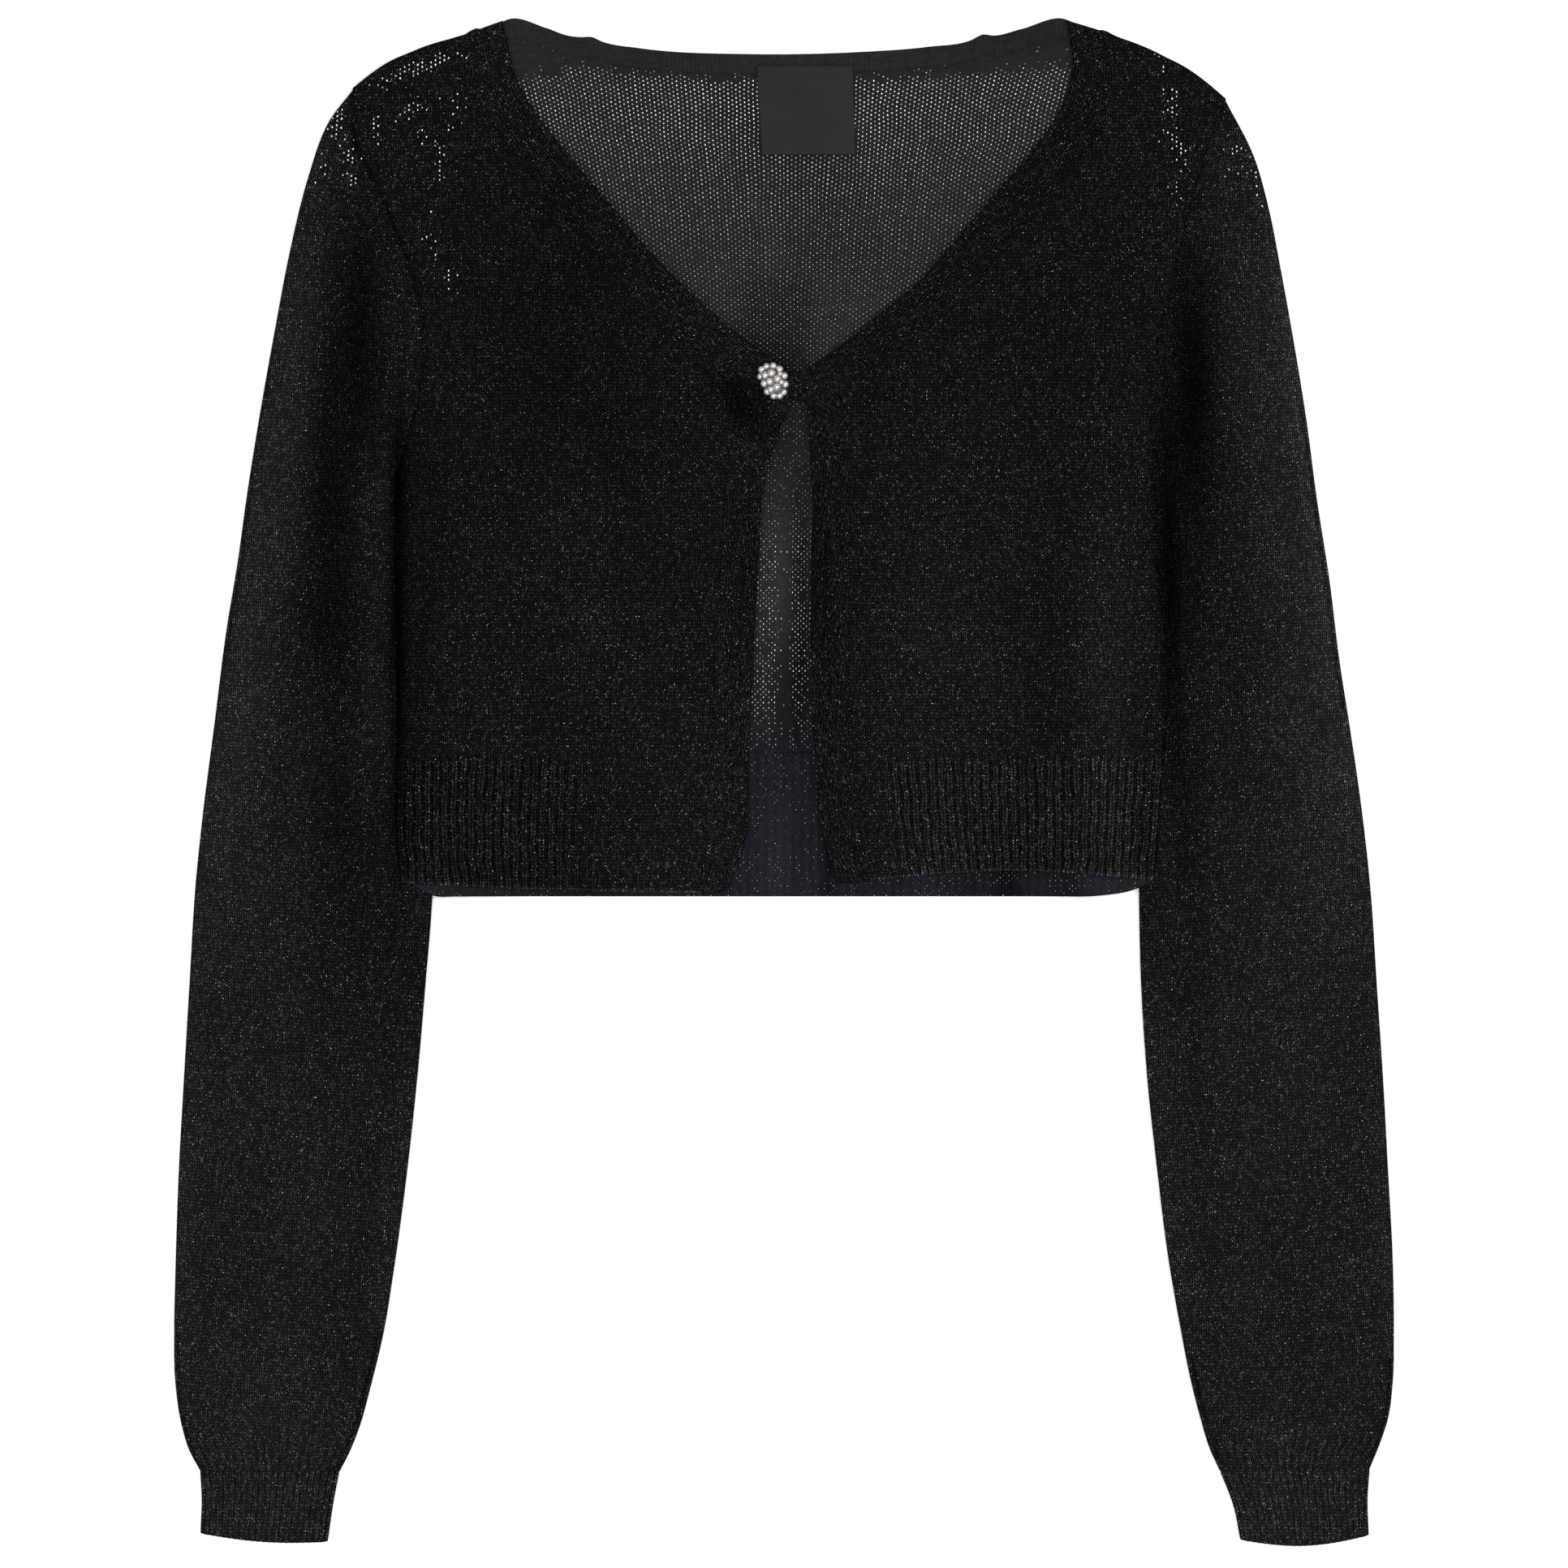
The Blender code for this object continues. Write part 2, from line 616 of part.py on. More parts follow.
def back_hem(finish, group):
    gap = Vector((0, GAP))
    starts = [plan(SIDE["right"][-1]) - gap, Vector(BACK_HEM_MIDDLE["right"]), plan(BACK_HEM[0])]
    ends = [plan(SIDE["left"][-1]) - gap, Vector(BACK_HEM_MIDDLE["left"]), plan(BACK_HEM[-1])]
    grid = [across(a, b, BACK_HEM_MIDDLES, both_sides=True) for a, b in zip(starts, ends)]
    grid[-1] = [Vector((p.x, back_hem_y(p.x))) for p in grid[-1]]
    return laid_wall("back_hem_rib", finish, group, grid, back_under)


def flat_ring(start, end, edge_height, over, inset, tops, unders, bend):
    """One loop round a flattened tube: over its top from the outer fold to the inner one, and back
    along its underside. over(at, distance, place) is the height of its outer skin's top. tops and
    unders place the points between the rounded folds, as shares of the way from one to the other.
    inset sets a skin inside the wall, and bend(share, depth) shifts a point in plan."""
    line = end - start
    step, width, middle = line.normalized(), line.length, edge_height / 2
    half = middle - inset
    low, high = inset, width - inset
    folded = [half * share for share in ROUNDING]

    def level(distance):
        near = min(distance - low, high - distance) / half
        return math.sqrt(max(1 - (1 - clamp(near)) ** 2, 0))

    def inside(share):
        return between(low + half, high - half, share)

    top = [(low, None)] + [(low + d, None) for d in folded]
    top += [(inside(share), n) for n, share in enumerate(tops)]
    top += [(high - d, None) for d in reversed(folded)] + [(high, None)]
    under = [high - d for d in folded] + [inside(share) for share in reversed(unders)]
    under += [low + d for d in reversed(folded)]
    ring = []
    for d, place in top:
        at = start + step * d + bend(d / width, 1.0)
        z = middle + (over(at, d, place) - inset - middle) * level(d)
        ring.append(Vector((at.x, at.y, z)))
    for d in under:
        at = start + step * d + bend(d / width, BACK_ARMHOLE_DEPTH)
        ring.append(Vector((at.x, at.y, middle - half * level(d))))
    return ring


def sleeve_ring(side, row, inset):
    start, end = plan(row, "out_"), plan(row, "in_")
    width = (end - start).length
    loose = width - row.pressed
    edge_height = between(STACK + WALL, SLEEVE_EDGE, clamp(row.rise / 2))

    def places(stations):
        return [(station * width - edge_height / 2) / (width - edge_height) for station in stations]

    def over(at, distance, _place):
        share = distance / loose
        if share >= 1:
            return edge_height
        hump = math.sin(math.pi * clamp(share)) ** SLEEVE_FULLNESS
        fold = folds(SLEEVE_FOLDS, at.x, at.y) * clamp(hump * 2)
        return edge_height + max(row.rise * hump + fold, 0.0)

    def bend(share, depth):
        return (armhole(side, share, depth) - armhole(side, share, 0.0)) * row.bow

    tops, unders = places(TOP_STATIONS), places(UNDER_STATIONS)
    return flat_ring(start, end, edge_height, over, inset, tops, unders, bend)


def sleeve(side, finish, group):
    outer = [sleeve_ring(side, row, 0.0) for row in SLEEVE[side]]
    inner = [sleeve_ring(side, row, WALL) for row in SLEEVE[side]]
    return tube_wall(f"sleeve_{side}", finish, group, outer, inner)


def cuff_ring(row, inset):
    columns = profile_columns(CUFF_RIB_COUNT, RIB_PROFILE)

    def over(_at, _distance, place):
        raised = place is not None and not inset
        return CUFF_HEIGHT + (CUFF_RIB_RISE * columns[place][1] if raised else 0.0)

    def bend(share, _depth):
        return Vector((0, row.bow * math.sin(math.pi * share)))

    tops = [share for share, _ in columns]
    start, end = plan(row, "out_"), plan(row, "in_")
    return flat_ring(start, end, CUFF_HEIGHT, over, inset, tops, CUFF_UNDERS, bend)


def cuff(side, finish, group):
    outer = [cuff_ring(row, 0.0) for row in CUFF[side]]
    inner = [cuff_ring(row, WALL) for row in CUFF[side]]
    return tube_wall(f"cuff_{side}", finish, group, outer, inner)


def neck_label(finish, group):
    low_x, low_y, high_x, high_y = LABEL_CORNERS
    grid = [
        [Vector((low_x, high_y)), Vector((high_x, high_y))],
        [Vector((low_x + LABEL_SLANT, low_y)), Vector((high_x + LABEL_SLANT / 2, low_y))],
    ]

    def on_neckband(x, y):
        return back_under(x, y) + NECKBAND_WALL + GAP

    return laid_wall("neck_label", finish, group, grid, on_neckband, wall=LABEL_WALL)


def helper(made):
    """Marks an object that only cuts or joins another."""
    made.hide_render = True
    made.display_type = "WIRE"
    return made


def boolean(target, tool, operation):
    modifier = target.modifiers.new(f"{operation.lower()} {tool.name}", "BOOLEAN")
    modifier.operation = operation
    modifier.object = helper(tool)


def place(made, at, height, turn):
    """Sets an object down at a plan point, at a height, turned about the vertical."""
    made.location = Vector((*at, height)) * MM
    made.rotation_euler.z = turn
    return made


def cut_buttonhole(band, finish, group):
    """A slit through the right front's band, for the button's shank."""
    bm = bmesh.new()
    bmesh.ops.create_cube(bm, size=1)
    bmesh.ops.scale(bm, vec=BUTTONHOLE, verts=bm.verts[:])
    slit = add_object(bm, "buttonhole_cutter", finish, group)
    middle = right_front_under(*BUTTON_AT) + WALL / 2
    boolean(band, place(slit, BUTTON_AT, middle, BUTTONHOLE_TURN), "DIFFERENCE")


def button_dome():
    """The low dome under the beads, flat below."""
    bm = bmesh.new()
    bmesh.ops.create_uvsphere(bm, u_segments=20, v_segments=10, radius=1)
    cut = bmesh.ops.bisect_plane(
        bm, geom=bm.verts[:] + bm.edges[:] + bm.faces[:], plane_co=(0, 0, DOME_CUT), plane_no=(0, 0, -1),
        clear_outer=True,
    )
    rim = [item for item in cut["geom_cut"] if isinstance(item, bmesh.types.BMEdge)]
    bmesh.ops.contextual_create(bm, geom=rim)
    width, length, height = BUTTON_DOME
    bmesh.ops.scale(bm, vec=(width / 2, length / 2, height), verts=bm.verts[:])
    return bm


def button_beads():
    """Rings of beads set in the dome's surface, each clear of the next."""
    bm = bmesh.new()
    width, length, height = BUTTON_DOME
    for count, reach, level in BEAD_RINGS:
        for n in range(count):
            angle = math.tau * n / count
            bead = bmesh.ops.create_icosphere(bm, subdivisions=1, radius=BEAD / 2)
            centre = (
                reach * width / 2 * math.cos(angle),
                reach * length / 2 * math.sin(angle),
                height * level + BEAD_SEAT,
            )
            bmesh.ops.translate(bm, vec=centre, verts=bead["verts"])
    return bm


def button_shank(length):
    """The post below the dome, its upper end set into it."""
    bm = bmesh.new()
    bmesh.ops.create_cone(
        bm, cap_ends=True, segments=12, radius1=SHANK_RADIUS, radius2=SHANK_RADIUS, depth=length + SHANK_SET,
    )
    bmesh.ops.translate(bm, vec=(0, 0, (SHANK_SET - length) / 2), verts=bm.verts[:])
    return bm


def button(finish, group, helpers):
    """The button over the right band, with its shank down through the slit to the left band."""
    band_top = WALL + BAND_RIDGE_RISE
    foot = front_under(*BUTTON_AT) + band_top + GAP
    base = right_front_under(*BUTTON_AT) + band_top + BEAD / 2
    dome = add_object(button_dome(), "button", finish, group)
    shank = add_object(button_shank(base - foot), "button_shank_form", finish, helpers)
    beads = add_object(button_beads(), "button_bead_form", finish, helpers)
    for made in (dome, shank, beads):
        place(made, BUTTON_AT, base, BUTTON_TILT)
    for made in (shank, beads):
        boolean(dome, made, "UNION")
    return dome


def main():
    clear_scene()
    group = collection("cardigan")
    helpers = collection("cutters")
    helpers.hide_render = True
    black = material("black knit", BLACK_KNIT, 0.6, 0.2)
    charcoal = material("charcoal knit", CHARCOAL_KNIT, 0.65, 0.1)
    satin = material("label satin", LABEL_BLACK, 0.35)
    pearl = material("pearl", PEARL, 0.22)
    back_panel(charcoal, group)
    back_hem(charcoal, group)
    back_neckband(charcoal, group)
    neck_label(satin, group)
    for side in ("right", "left"):
        front_panel(side, black, group)
        front_hem(side, black, group)
        band = front_band(side, black, group)
        if side == "right":
            cut_buttonhole(band, black, helpers)
        sleeve(side, black, group)
        cuff(side, black, group)
    button(pearl, group, helpers)


main()
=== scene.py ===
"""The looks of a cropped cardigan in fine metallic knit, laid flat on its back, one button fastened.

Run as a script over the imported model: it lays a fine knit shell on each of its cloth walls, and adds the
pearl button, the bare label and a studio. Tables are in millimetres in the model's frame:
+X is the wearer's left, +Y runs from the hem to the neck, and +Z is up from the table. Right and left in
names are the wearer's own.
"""

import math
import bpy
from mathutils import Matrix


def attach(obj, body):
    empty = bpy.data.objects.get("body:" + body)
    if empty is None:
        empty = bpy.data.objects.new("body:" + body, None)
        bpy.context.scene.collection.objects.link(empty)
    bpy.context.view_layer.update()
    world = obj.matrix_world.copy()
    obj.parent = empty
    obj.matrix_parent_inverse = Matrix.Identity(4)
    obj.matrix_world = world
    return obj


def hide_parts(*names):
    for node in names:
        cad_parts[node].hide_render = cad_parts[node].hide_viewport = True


bl_info = {
    "name": "Cardigan in metallic knit",
    "version": (1, 0, 0),
    "blender": (4, 5, 0),
    "location": "View3D > Sidebar > Cardigan",
    "description": "Knit shells, seams, pearl button and label of a cardigan laid flat",
    "category": "Add Mesh",
}

from collections import namedtuple

import bmesh
import bpy
import numpy as np
from bpy.props import FloatProperty, FloatVectorProperty, PointerProperty
from bpy.types import Operator, Panel, PropertyGroup
from mathutils import Matrix, Vector

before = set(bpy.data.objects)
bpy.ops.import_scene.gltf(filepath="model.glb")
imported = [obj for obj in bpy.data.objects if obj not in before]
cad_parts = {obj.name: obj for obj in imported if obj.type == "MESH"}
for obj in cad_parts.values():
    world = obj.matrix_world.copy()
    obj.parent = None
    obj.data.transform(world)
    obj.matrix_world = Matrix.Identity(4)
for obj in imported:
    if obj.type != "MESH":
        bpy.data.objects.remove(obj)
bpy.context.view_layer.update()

MM = 0.001

# Cloth
WALL = 1.5  # thickness of the knit
GAP = 0.3  # between two pieces at a seam
STACK = WALL + GAP  # from one laid layer to the next

# Ribs and band ridges, raised in the outer face only
HEM_RIB_PITCH = 3.8
HEM_RIB_RISE = 0.7
CUFF_RIB_COUNT = 21
CUFF_RIB_RISE = 0.6
BAND_RIDGES = 5
BAND_RIDGE_RISE = 0.45

# How the body lies
PUFF = 2.4  # air between back and front, away from the edges
PUFF_EDGE = (4.0, 50.0)  # distance from the side edge where the puff starts, and where it is full
PUFF_SHOULDER = (4.0, 70.0)  # the same, below the shoulder line
PUFF_HEM_SHARE = 0.35  # of the puff that is left at the hem's edge
PUFF_HEM = (-45.0, 20.0)  # heights between which the puff grows to its full size
SLEEVE_EDGE = 4.0  # height of a sleeve's folded edge
LIFT = SLEEVE_EDGE + GAP  # of the body's side, which lies on the sleeve
LIFT_REACH = (18.0, 60.0)  # distance from the side edge with the full lift, and with none
SIDE_STATIONS = (0.0, 9.0, 18.0, 27.0, 36.0, 45.0, 54.0)  # columns beside a side edge
FULL_ROW = 120.0  # a shorter row has these columns closer together
FRONT_MIDDLE = (0.25, 0.5, 0.75)
BACK_HEM_MIDDLES = (0.2, 0.4, 0.6, 0.8)
HEM_SEAM_Y = 12.0
ARMHOLE_ROWS = 12
BACK_ARMHOLE_DEPTH = 0.75  # the back armhole is scooped less than the front one

# The lap at the button
BUTTON_AT = (-4.4, 167.3)
LAP = STACK + BAND_RIDGE_RISE  # the right front rises this much over the left one
LAP_REACH = (13.0, 36.0)  # distance from the button with the full rise, and with none

# The button: a dome covered in pearl beads
BUTTON_DOME = (10.6, 13.2, 4.2)  # full width, length and height
DOME_CUT = 0.02  # where its flat back is, as a share of its height
BUTTON_TILT = math.radians(12.5)
SHANK_RADIUS = 1.2
BEAD = 2.6  # diameter of the solid's beads: the dome's back is half of it above the band
BEAD_SEAT = 0.7  # height of the lowest beads over the dome's flat back

# The label
LABEL_CORNERS = (-11.5, 263.0, 29.0, 300.5)  # low x, low y, high x, high y
LABEL_SLANT = 2.0  # its lower edge stands this far to the right
LABEL_WALL = 1.0
NECKBAND_HEIGHT = 8.5
NECKBAND_WALL = 1.9  # a doubled strip


def table(columns, *rows):
    """Rows of numbers whose columns can be read by name."""
    row_type = namedtuple("Row", columns)
    return [row_type(*map(float, row)) for row in rows]


# Edge of the armhole from the shoulder tip to the underarm
ARMHOLE = {
    "right": table(
        "x y",
        (-181, 291), (-181, 271.5), (-175.5, 259.5), (-169.5, 247.5), (-162.5, 229),
        (-156.5, 214), (-153, 200), (-151.5, 187), (-151.5, 174), (-153.5, 161),
        (-157, 152), (-162, 144),
    ),
    "left": table(
        "x y",
        (185.5, 286.5), (180, 271.5), (175, 257.5), (171, 241.5), (167, 227), (163.5, 213),
        (160.5, 199.5), (157.5, 186.5), (155.3, 174), (154.3, 161.5), (154.5, 149), (156, 135.5),
    ),
}
# Side edge of the body below the underarm, down to the hem seam
SIDE = {
    "right": table(
        "x y",
        (-162.4, 137), (-162.8, 130), (-163, 123.5), (-163, 117.5), (-163, 93),
        (-162.5, 65), (-162, 38), (-162, HEM_SEAM_Y),
    ),
    "left": table(
        "x y",
        (155.9, 129), (155.7, 122.5), (155.6, 116), (155.5, 109.5), (156.5, 88), (159.3, 63),
        (160.5, 38), (159, HEM_SEAM_Y),
    ),
}
# Heights between which the body's side climbs onto the sleeve
LIFT_FROM = {"right": (142.0, 119.0), "left": (133.5, 111.0)}
# Front bands: the free edge, and the seam to the panel. A row of the band is a row of the panel
BAND = {
    "right": table(
        "free_x free_y seam_x seam_y",
        (-118, 319.3, -134.5, 313.3),
        (-111.5, 293.5, -128.5, 288),
        (-100, 275, -115.3, 265.5),
        (-86.5, 258, -100.7, 247),
        (-72.5, 241.5, -86.2, 229.8),
        (-60, 226.5, -73.2, 214.3),
        (-46.5, 212, -59.3, 199.3),
        (-31.5, 198, -43.7, 184.8),
        (-16.5, 185.5, -30, 173),
        (-5.5, 177.7, -23.5, 166.5),
        (1.5, 173.2, -20.5, 162),
        (4.6, 168.8, -19, 157.6),
        (2.8, 159.5, -18.3, 153),
        (-0.5, 149.5, -18.3, 147.5),
        (-4, 140.5, -19.5, 140.5),
        (-7, 131.5, -21.8, 132.5),
        (-9, 119.5, -24.5, 121),
        (-10.5, 93, -26.3, 94),
        (-12.3, 65, -28.2, 65.5),
        (-13.5, 38, -29.4, 38.2),
        (-15.3, 12, -31, 12),
        (-19, -34, -34.4, -36),
        (-24.5, -46, -35, -46.8),
    ),
    "left": table(
        "free_x free_y seam_x seam_y",
        (118.5, 319.5, 135.5, 314.3),
        (121, 303, 138.8, 300.5),
        (114.5, 279.5, 131.2, 272.3),
        (102.5, 262.5, 117, 252),
        (88, 245.5, 101.5, 233.5),
        (72.5, 227.5, 85.5, 215),
        (57.5, 210.5, 69, 197),
        (39.5, 195.5, 50.5, 182.5),
        (22, 181.3, 35, 171.5),
        (6.5, 171.8, 28.5, 166.8),
        (-5.5, 169.8, 26, 164),
        (-7.8, 166.6, 24.5, 161),
        (-5.5, 163.4, 23.4, 158),
        (8.4, 160, 23, 153),
        (10.2, 151.5, 23.8, 145.5),
        (11, 139, 25.8, 136),
        (12, 120, 28, 119.5),
        (11.5, 93, 27.6, 93),
        (11.2, 65, 27.2, 65),
        (11.6, 38, 27.6, 38),
        (13.2, 12, 29, 12),
        (18.8, -31, 34.4, -32),
        (23.5, -42.5, 36.5, -41.5),
    ),
}
SHOULDER_BOW = 3.9  # how far the shoulder line arches
SHOULDER_ROWS = 5  # the arch dies out over this many rows of a front
HEM_MIDDLE = {"right": (-161.8, -28.0), "left": (156.2, -25.0)}
HEM_CORNER = {"right": (-160.5, -42.5), "left": (155.0, -41.5)}
BACK_HEM_MIDDLE = {"right": (-160.0, -28.0), "left": (155.8, -25.0)}
HEM_BOW = {"right": -0.8, "left": 4.0}  # the front hem's lower edge sags or arches
# Top edge of the back neck
BACK_NECK = table(
    "x y",
    (-121.5, 317.2), (-115.5, 320.3), (-100, 316.6), (-90.5, 313.3), (-85, 312.7), (-81, 312.8),
    (-76.5, 310.9), (-60, 308), (-15, 305.6), (30, 306.4), (60, 308.6), (79, 311.6),
    (83.5, 313.8), (88, 313.4), (100, 316.2), (118, 320.3), (124.5, 316.8),
)
# Lower edge of the back
BACK_HEM = table(
    "x y",
    (-155.5, -43.5), (-147, -47.9), (-138, -48.2), (131, -48.2), (148, -45.4), (153.5, -42.5),
)
# Sleeve sections from the armhole to the cuff seam: the outer fold, the inner fold, how far the top
# rises over the folded edges, and how wide a strip beside the inner fold stays pressed down
SLEEVE = {
    "right": table(
        "out_x out_y in_x in_y rise pressed bow",
        (-180.6, 290.8, -161.7, 144.3, 0, 2, 1),
        (-191, 277, -161.8, 138, 0.9, 2, 0.88),
        (-200, 252.5, -161.6, 131, 2.2, 2, 0.66),
        (-207.5, 222, -161.6, 124, 3.6, 4, 0.4),
        (-214, 188, -161.4, 117, 4.8, 6, 0.16),
        (-220.5, 151.5, -158.5, 105, 5.5, 12, 0),
        (-225.5, 120, -153, 91, 5.8, 17, 0),
        (-229, 94.5, -149.8, 75, 5.8, 19, 0),
        (-234, 64, -148.2, 52, 5.6, 19, 0),
        (-239, 25, -147.6, 18, 5.4, 19, 0),
        (-244, -14, -147.4, -18, 5.2, 19, 0),
        (-247, -43, -147.6, -47, 5, 18, 0),
        (-249.5, -83.5, -150.4, -84, 5, 8, 0),
        (-252, -126, -154, -125, 5, 4, 0),
        (-254, -162, -158, -162, 4.9, 3, 0),
        (-255.5, -206.5, -164, -206.5, 4.8, 3, 0),
        (-256, -230, -168, -231, 4.6, 3, 0),
        (-255.5, -252.5, -173.5, -254, 4.2, 3, 0),
        (-253, -269.5, -178.2, -271, 3.4, 3, 0),
        (-249.5, -281, -182.6, -282, 2, 3, 0),
        (-245.2, -289, -186.5, -289.5, 0.6, 3, 0),
    ),
    "left": table(
        "out_x out_y in_x in_y rise pressed bow",
        (185.1, 286.3, 155.7, 135.8, 0, 2, 1),
        (197, 263, 155.4, 129.5, 0.9, 2, 0.86),
        (203, 242.5, 155, 123, 2.2, 2, 0.62),
        (208.5, 215, 154.6, 116.5, 3.4, 4, 0.36),
        (214, 184.5, 154.2, 109.5, 4.4, 6, 0.14),
        (219.5, 150.5, 153.3, 98, 5.2, 10, 0),
        (223.5, 120, 151, 84, 5.6, 14, 0),
        (229, 84.5, 149.8, 64, 5.8, 16, 0),
        (233, 52, 149.3, 40, 5.8, 16, 0),
        (237.5, 23, 149, 15, 5.6, 18, 0),
        (241.5, -4, 149, -10, 5.4, 18, 0),
        (246, -43, 149, -46.5, 5.2, 14, 0),
        (249, -87.5, 150, -88, 5, 6, 0),
        (251.5, -125, 152.5, -125, 5, 4, 0),
        (253.5, -162, 156.5, -162, 4.9, 3, 0),
        (255.5, -200, 161.3, -200, 4.8, 3, 0),
        (256, -230, 166.5, -230, 4.6, 3, 0),
        (255.5, -252.5, 171, -252.5, 4.2, 3, 0),
        (253.5, -267.5, 175, -268, 3.4, 3, 0),
        (249.5, -279.5, 178.7, -280, 2, 3, 0),
        (246, -288, 182.8, -289, 0.6, 3, 0),
    ),
}
CUFF = {
    "right": table(
        "out_x out_y in_x in_y bow",
        (-245.1, -289.4, -186.7, -289.9, 0),
        (-244.5, -301.5, -189.3, -303.5, -1.2),
        (-245, -315.2, -191.5, -318.8, -1.8),
    ),
    "left": table(
        "out_x out_y in_x in_y bow",
        (245.9, -288.4, 183, -289.4, 0),
        (245, -301.5, 188.5, -303.5, -1.2),
        (245.5, -316, 191.5, -318, -3.4),
    ),
}
# Soft lengthwise folds: a line from one end to the other, its half width, and its rise or depth
SLEEVE_FOLDS = table(
    "top_x top_y low_x low_y half_width rise",
    (-184, 165, -186, -60, 15, -3),
    (-203, 215, -196, 120, 13, -1.4),
    (-187, -60, -196, -262, 11, -1),
    (-232, -100, -236, -255, 12, -0.7),
    (172, 205, 178, 60, 13, -1.8),
    (196, 40, 204, -120, 16, -1.1),
    (186, -150, 200, -268, 11, -1),
    (226, -170, 230, -268, 11, -0.8),
)
BODY_FOLDS = table(
    "top_x top_y low_x low_y half_width rise",
    (-132, 110, -128, -30, 14, -0.9),
    (-112, 90, -110, -20, 13, 1),
    (-76, 110, -78, -45, 16, -0.9),
    (-42, 100, -46, -20, 12, 0.8),
    (110, 100, 112, 0, 14, -1),
    (86, 110, 80, -30, 15, 0.9),
    (44, 120, 46, -10, 12, -0.7),
    (128, 60, 124, -40, 12, 0.7),
)
FOLD_TAPER = 0.7  # under 1 makes a fold reach its full rise sooner
SLEEVE_FULLNESS = 0.7  # under 1 makes the sleeve fuller towards its folds
FULL_EDGE_RISE = 2.0  # a sleeve's folded edge has its full height where its top rises this much
CUFF_HEIGHT = 3.6
CUFF_UNDERS = (0.25, 0.5, 0.75)

# The fine shells
RIB_COLUMNS = 8  # mesh columns across one rib
RIB_ROUNDING = 0.6  # under 1 makes a rib fuller
SLEEVE_TOPS = 44  # mesh columns over a sleeve, and under it
SLEEVE_UNDERS = 24
FOLD_ROUNDING = (0.08, 0.3, 0.62, 1.0)  # places on a folded edge, as shares of its radius
SKIN_SPACING = 2.2  # between the rows of a fine shell
SLEEVE_SPACING = 2.6
BAND_SPACING = 1.6
CUFF_SPACING = 1.3
LABEL_SPACING = 0.8
NECK_SPACING = (0.5, 0.4)  # between the neckband's rows and its columns
SEAM_GAP = -0.6  # the edges of two pieces run into each other at a seam
EDGE_TUCK = 0.22  # how far a shell's outermost points draw in, as a share of a column
EDGE_ROUND = 0.18  # how far they draw down, as a share of the wall

# The knit
WALE = 1.85  # from one column of stitches to the next
COURSE = 1.36  # from one row of stitches to the next
V_LEAN = 0.9  # how far the legs of a V rise, in courses
V_GAP = 0.09  # tone between the legs, painted shade
LEG_ROUNDING = (1.6, 2.3)  # over 1 makes a leg of a V thinner, and gaps between the Vs wider
HOLE_SQUEEZE = 0.7  # a gap is taller than it is wide by the inverse of this
HOLE_RADIUS = (0.066, 0.236)  # of a gap that hardly gapes, and of one that gapes fully
HOLE_SIZES = (0.75, 1.15)  # how far its size goes down and up by chance
HOLE_RIM = (0.1, -0.06)  # distances from its edge where it isn't seen yet, and seen in full
HOLE_LIGHT = (0.6, 0.7)  # how bright the painted ground is in it: by chance, and by how far it gapes
HOLE_BRIGHTEST = 0.95
OTHER_DRAW = (57.0, 31.0)  # a shift that makes a second draw unlike the first
GLINT_CELL = 0.52  # one glint at most in a cell of about this size
GLINT_RIM = (0.42, 0.1)  # where the glint fades in, as shares of the cell
GLINT_STRENGTH = (0.09, 0.89)  # of the faintest and of the brightest
STITCH_LIGHT = (1.4, 4.8)  # of the dullest and of the brightest leg of a V
FURROW_SHADE = 0.4  # tone of a hollow between ribs, painted shade
SECOND_ROW = 0.6  # how much of the gaps shows in every second row, where they gape half
DRIFT = 0.7  # how far the columns stray, in wales
INNER_DRIFT = 0.6  # how far the stitches of the inside stray across, and then down, in stitches
INNER_SWAY = 0.8
INNER_WAVE = 0.3  # how far a row on the inside rises and falls, in rows
INNER_ROUNDING = 0.6  # under 1 makes a row on the inside fuller
PATCHY = (3.2, 0.2)  # how unevenly the gaps are spread, where few and where all are open
STITCH_MAP = "stitches"
SLEEVE_TURN = {"right": math.radians(-3.4), "left": math.radians(3.0)}  # of the wales, from upright

# Painted light and shade on the cloth, as soft lines with their gain in tone: shadows at the underarms,
# beside the body's edges and round the button, dark troughs of folds, and lighter rolled edges of the
# sleeves. A few lines on the back are patches of its own tone
BODY_SHADE = table(
    "top_x top_y low_x low_y half_width rise",
    (-160, 250, -163, -60, 14, -0.3),
    (-162, 172, -162, -75, 6, -0.6),
    (-161, 160, -162, 108, 5.5, -0.3),
    (-24, 174, -8, 140, 18, -0.66),
    (-100, 270, -92, 110, 64, -0.09),
    (32, 222, 34, 110, 36, -0.1),
    (-16, 135, -18, 35, 12, -0.28),
    (14, 135, 16, 35, 12, -0.34),
    (-150, 175, -150, -40, 16, -0.25),
    (-90, 310, -85, 40, 95, -0.2),
    (-40, 40, -44, -120, 30, 0.15),
    (-118, 290, -60, 200, 40, -0.08),
    (154.5, 162, 165, -60, 5.5, -0.52),
    (120, 310, 100, 90, 90, -0.14),
    (70, 160, 60, -110, 40, 0.22),
    (110, 90, 112, 10, 14, -0.15),
    (136, 140, 134, -80, 18, 0.4),
    (-84, 150, -84, 40, 40, 0.14),
)
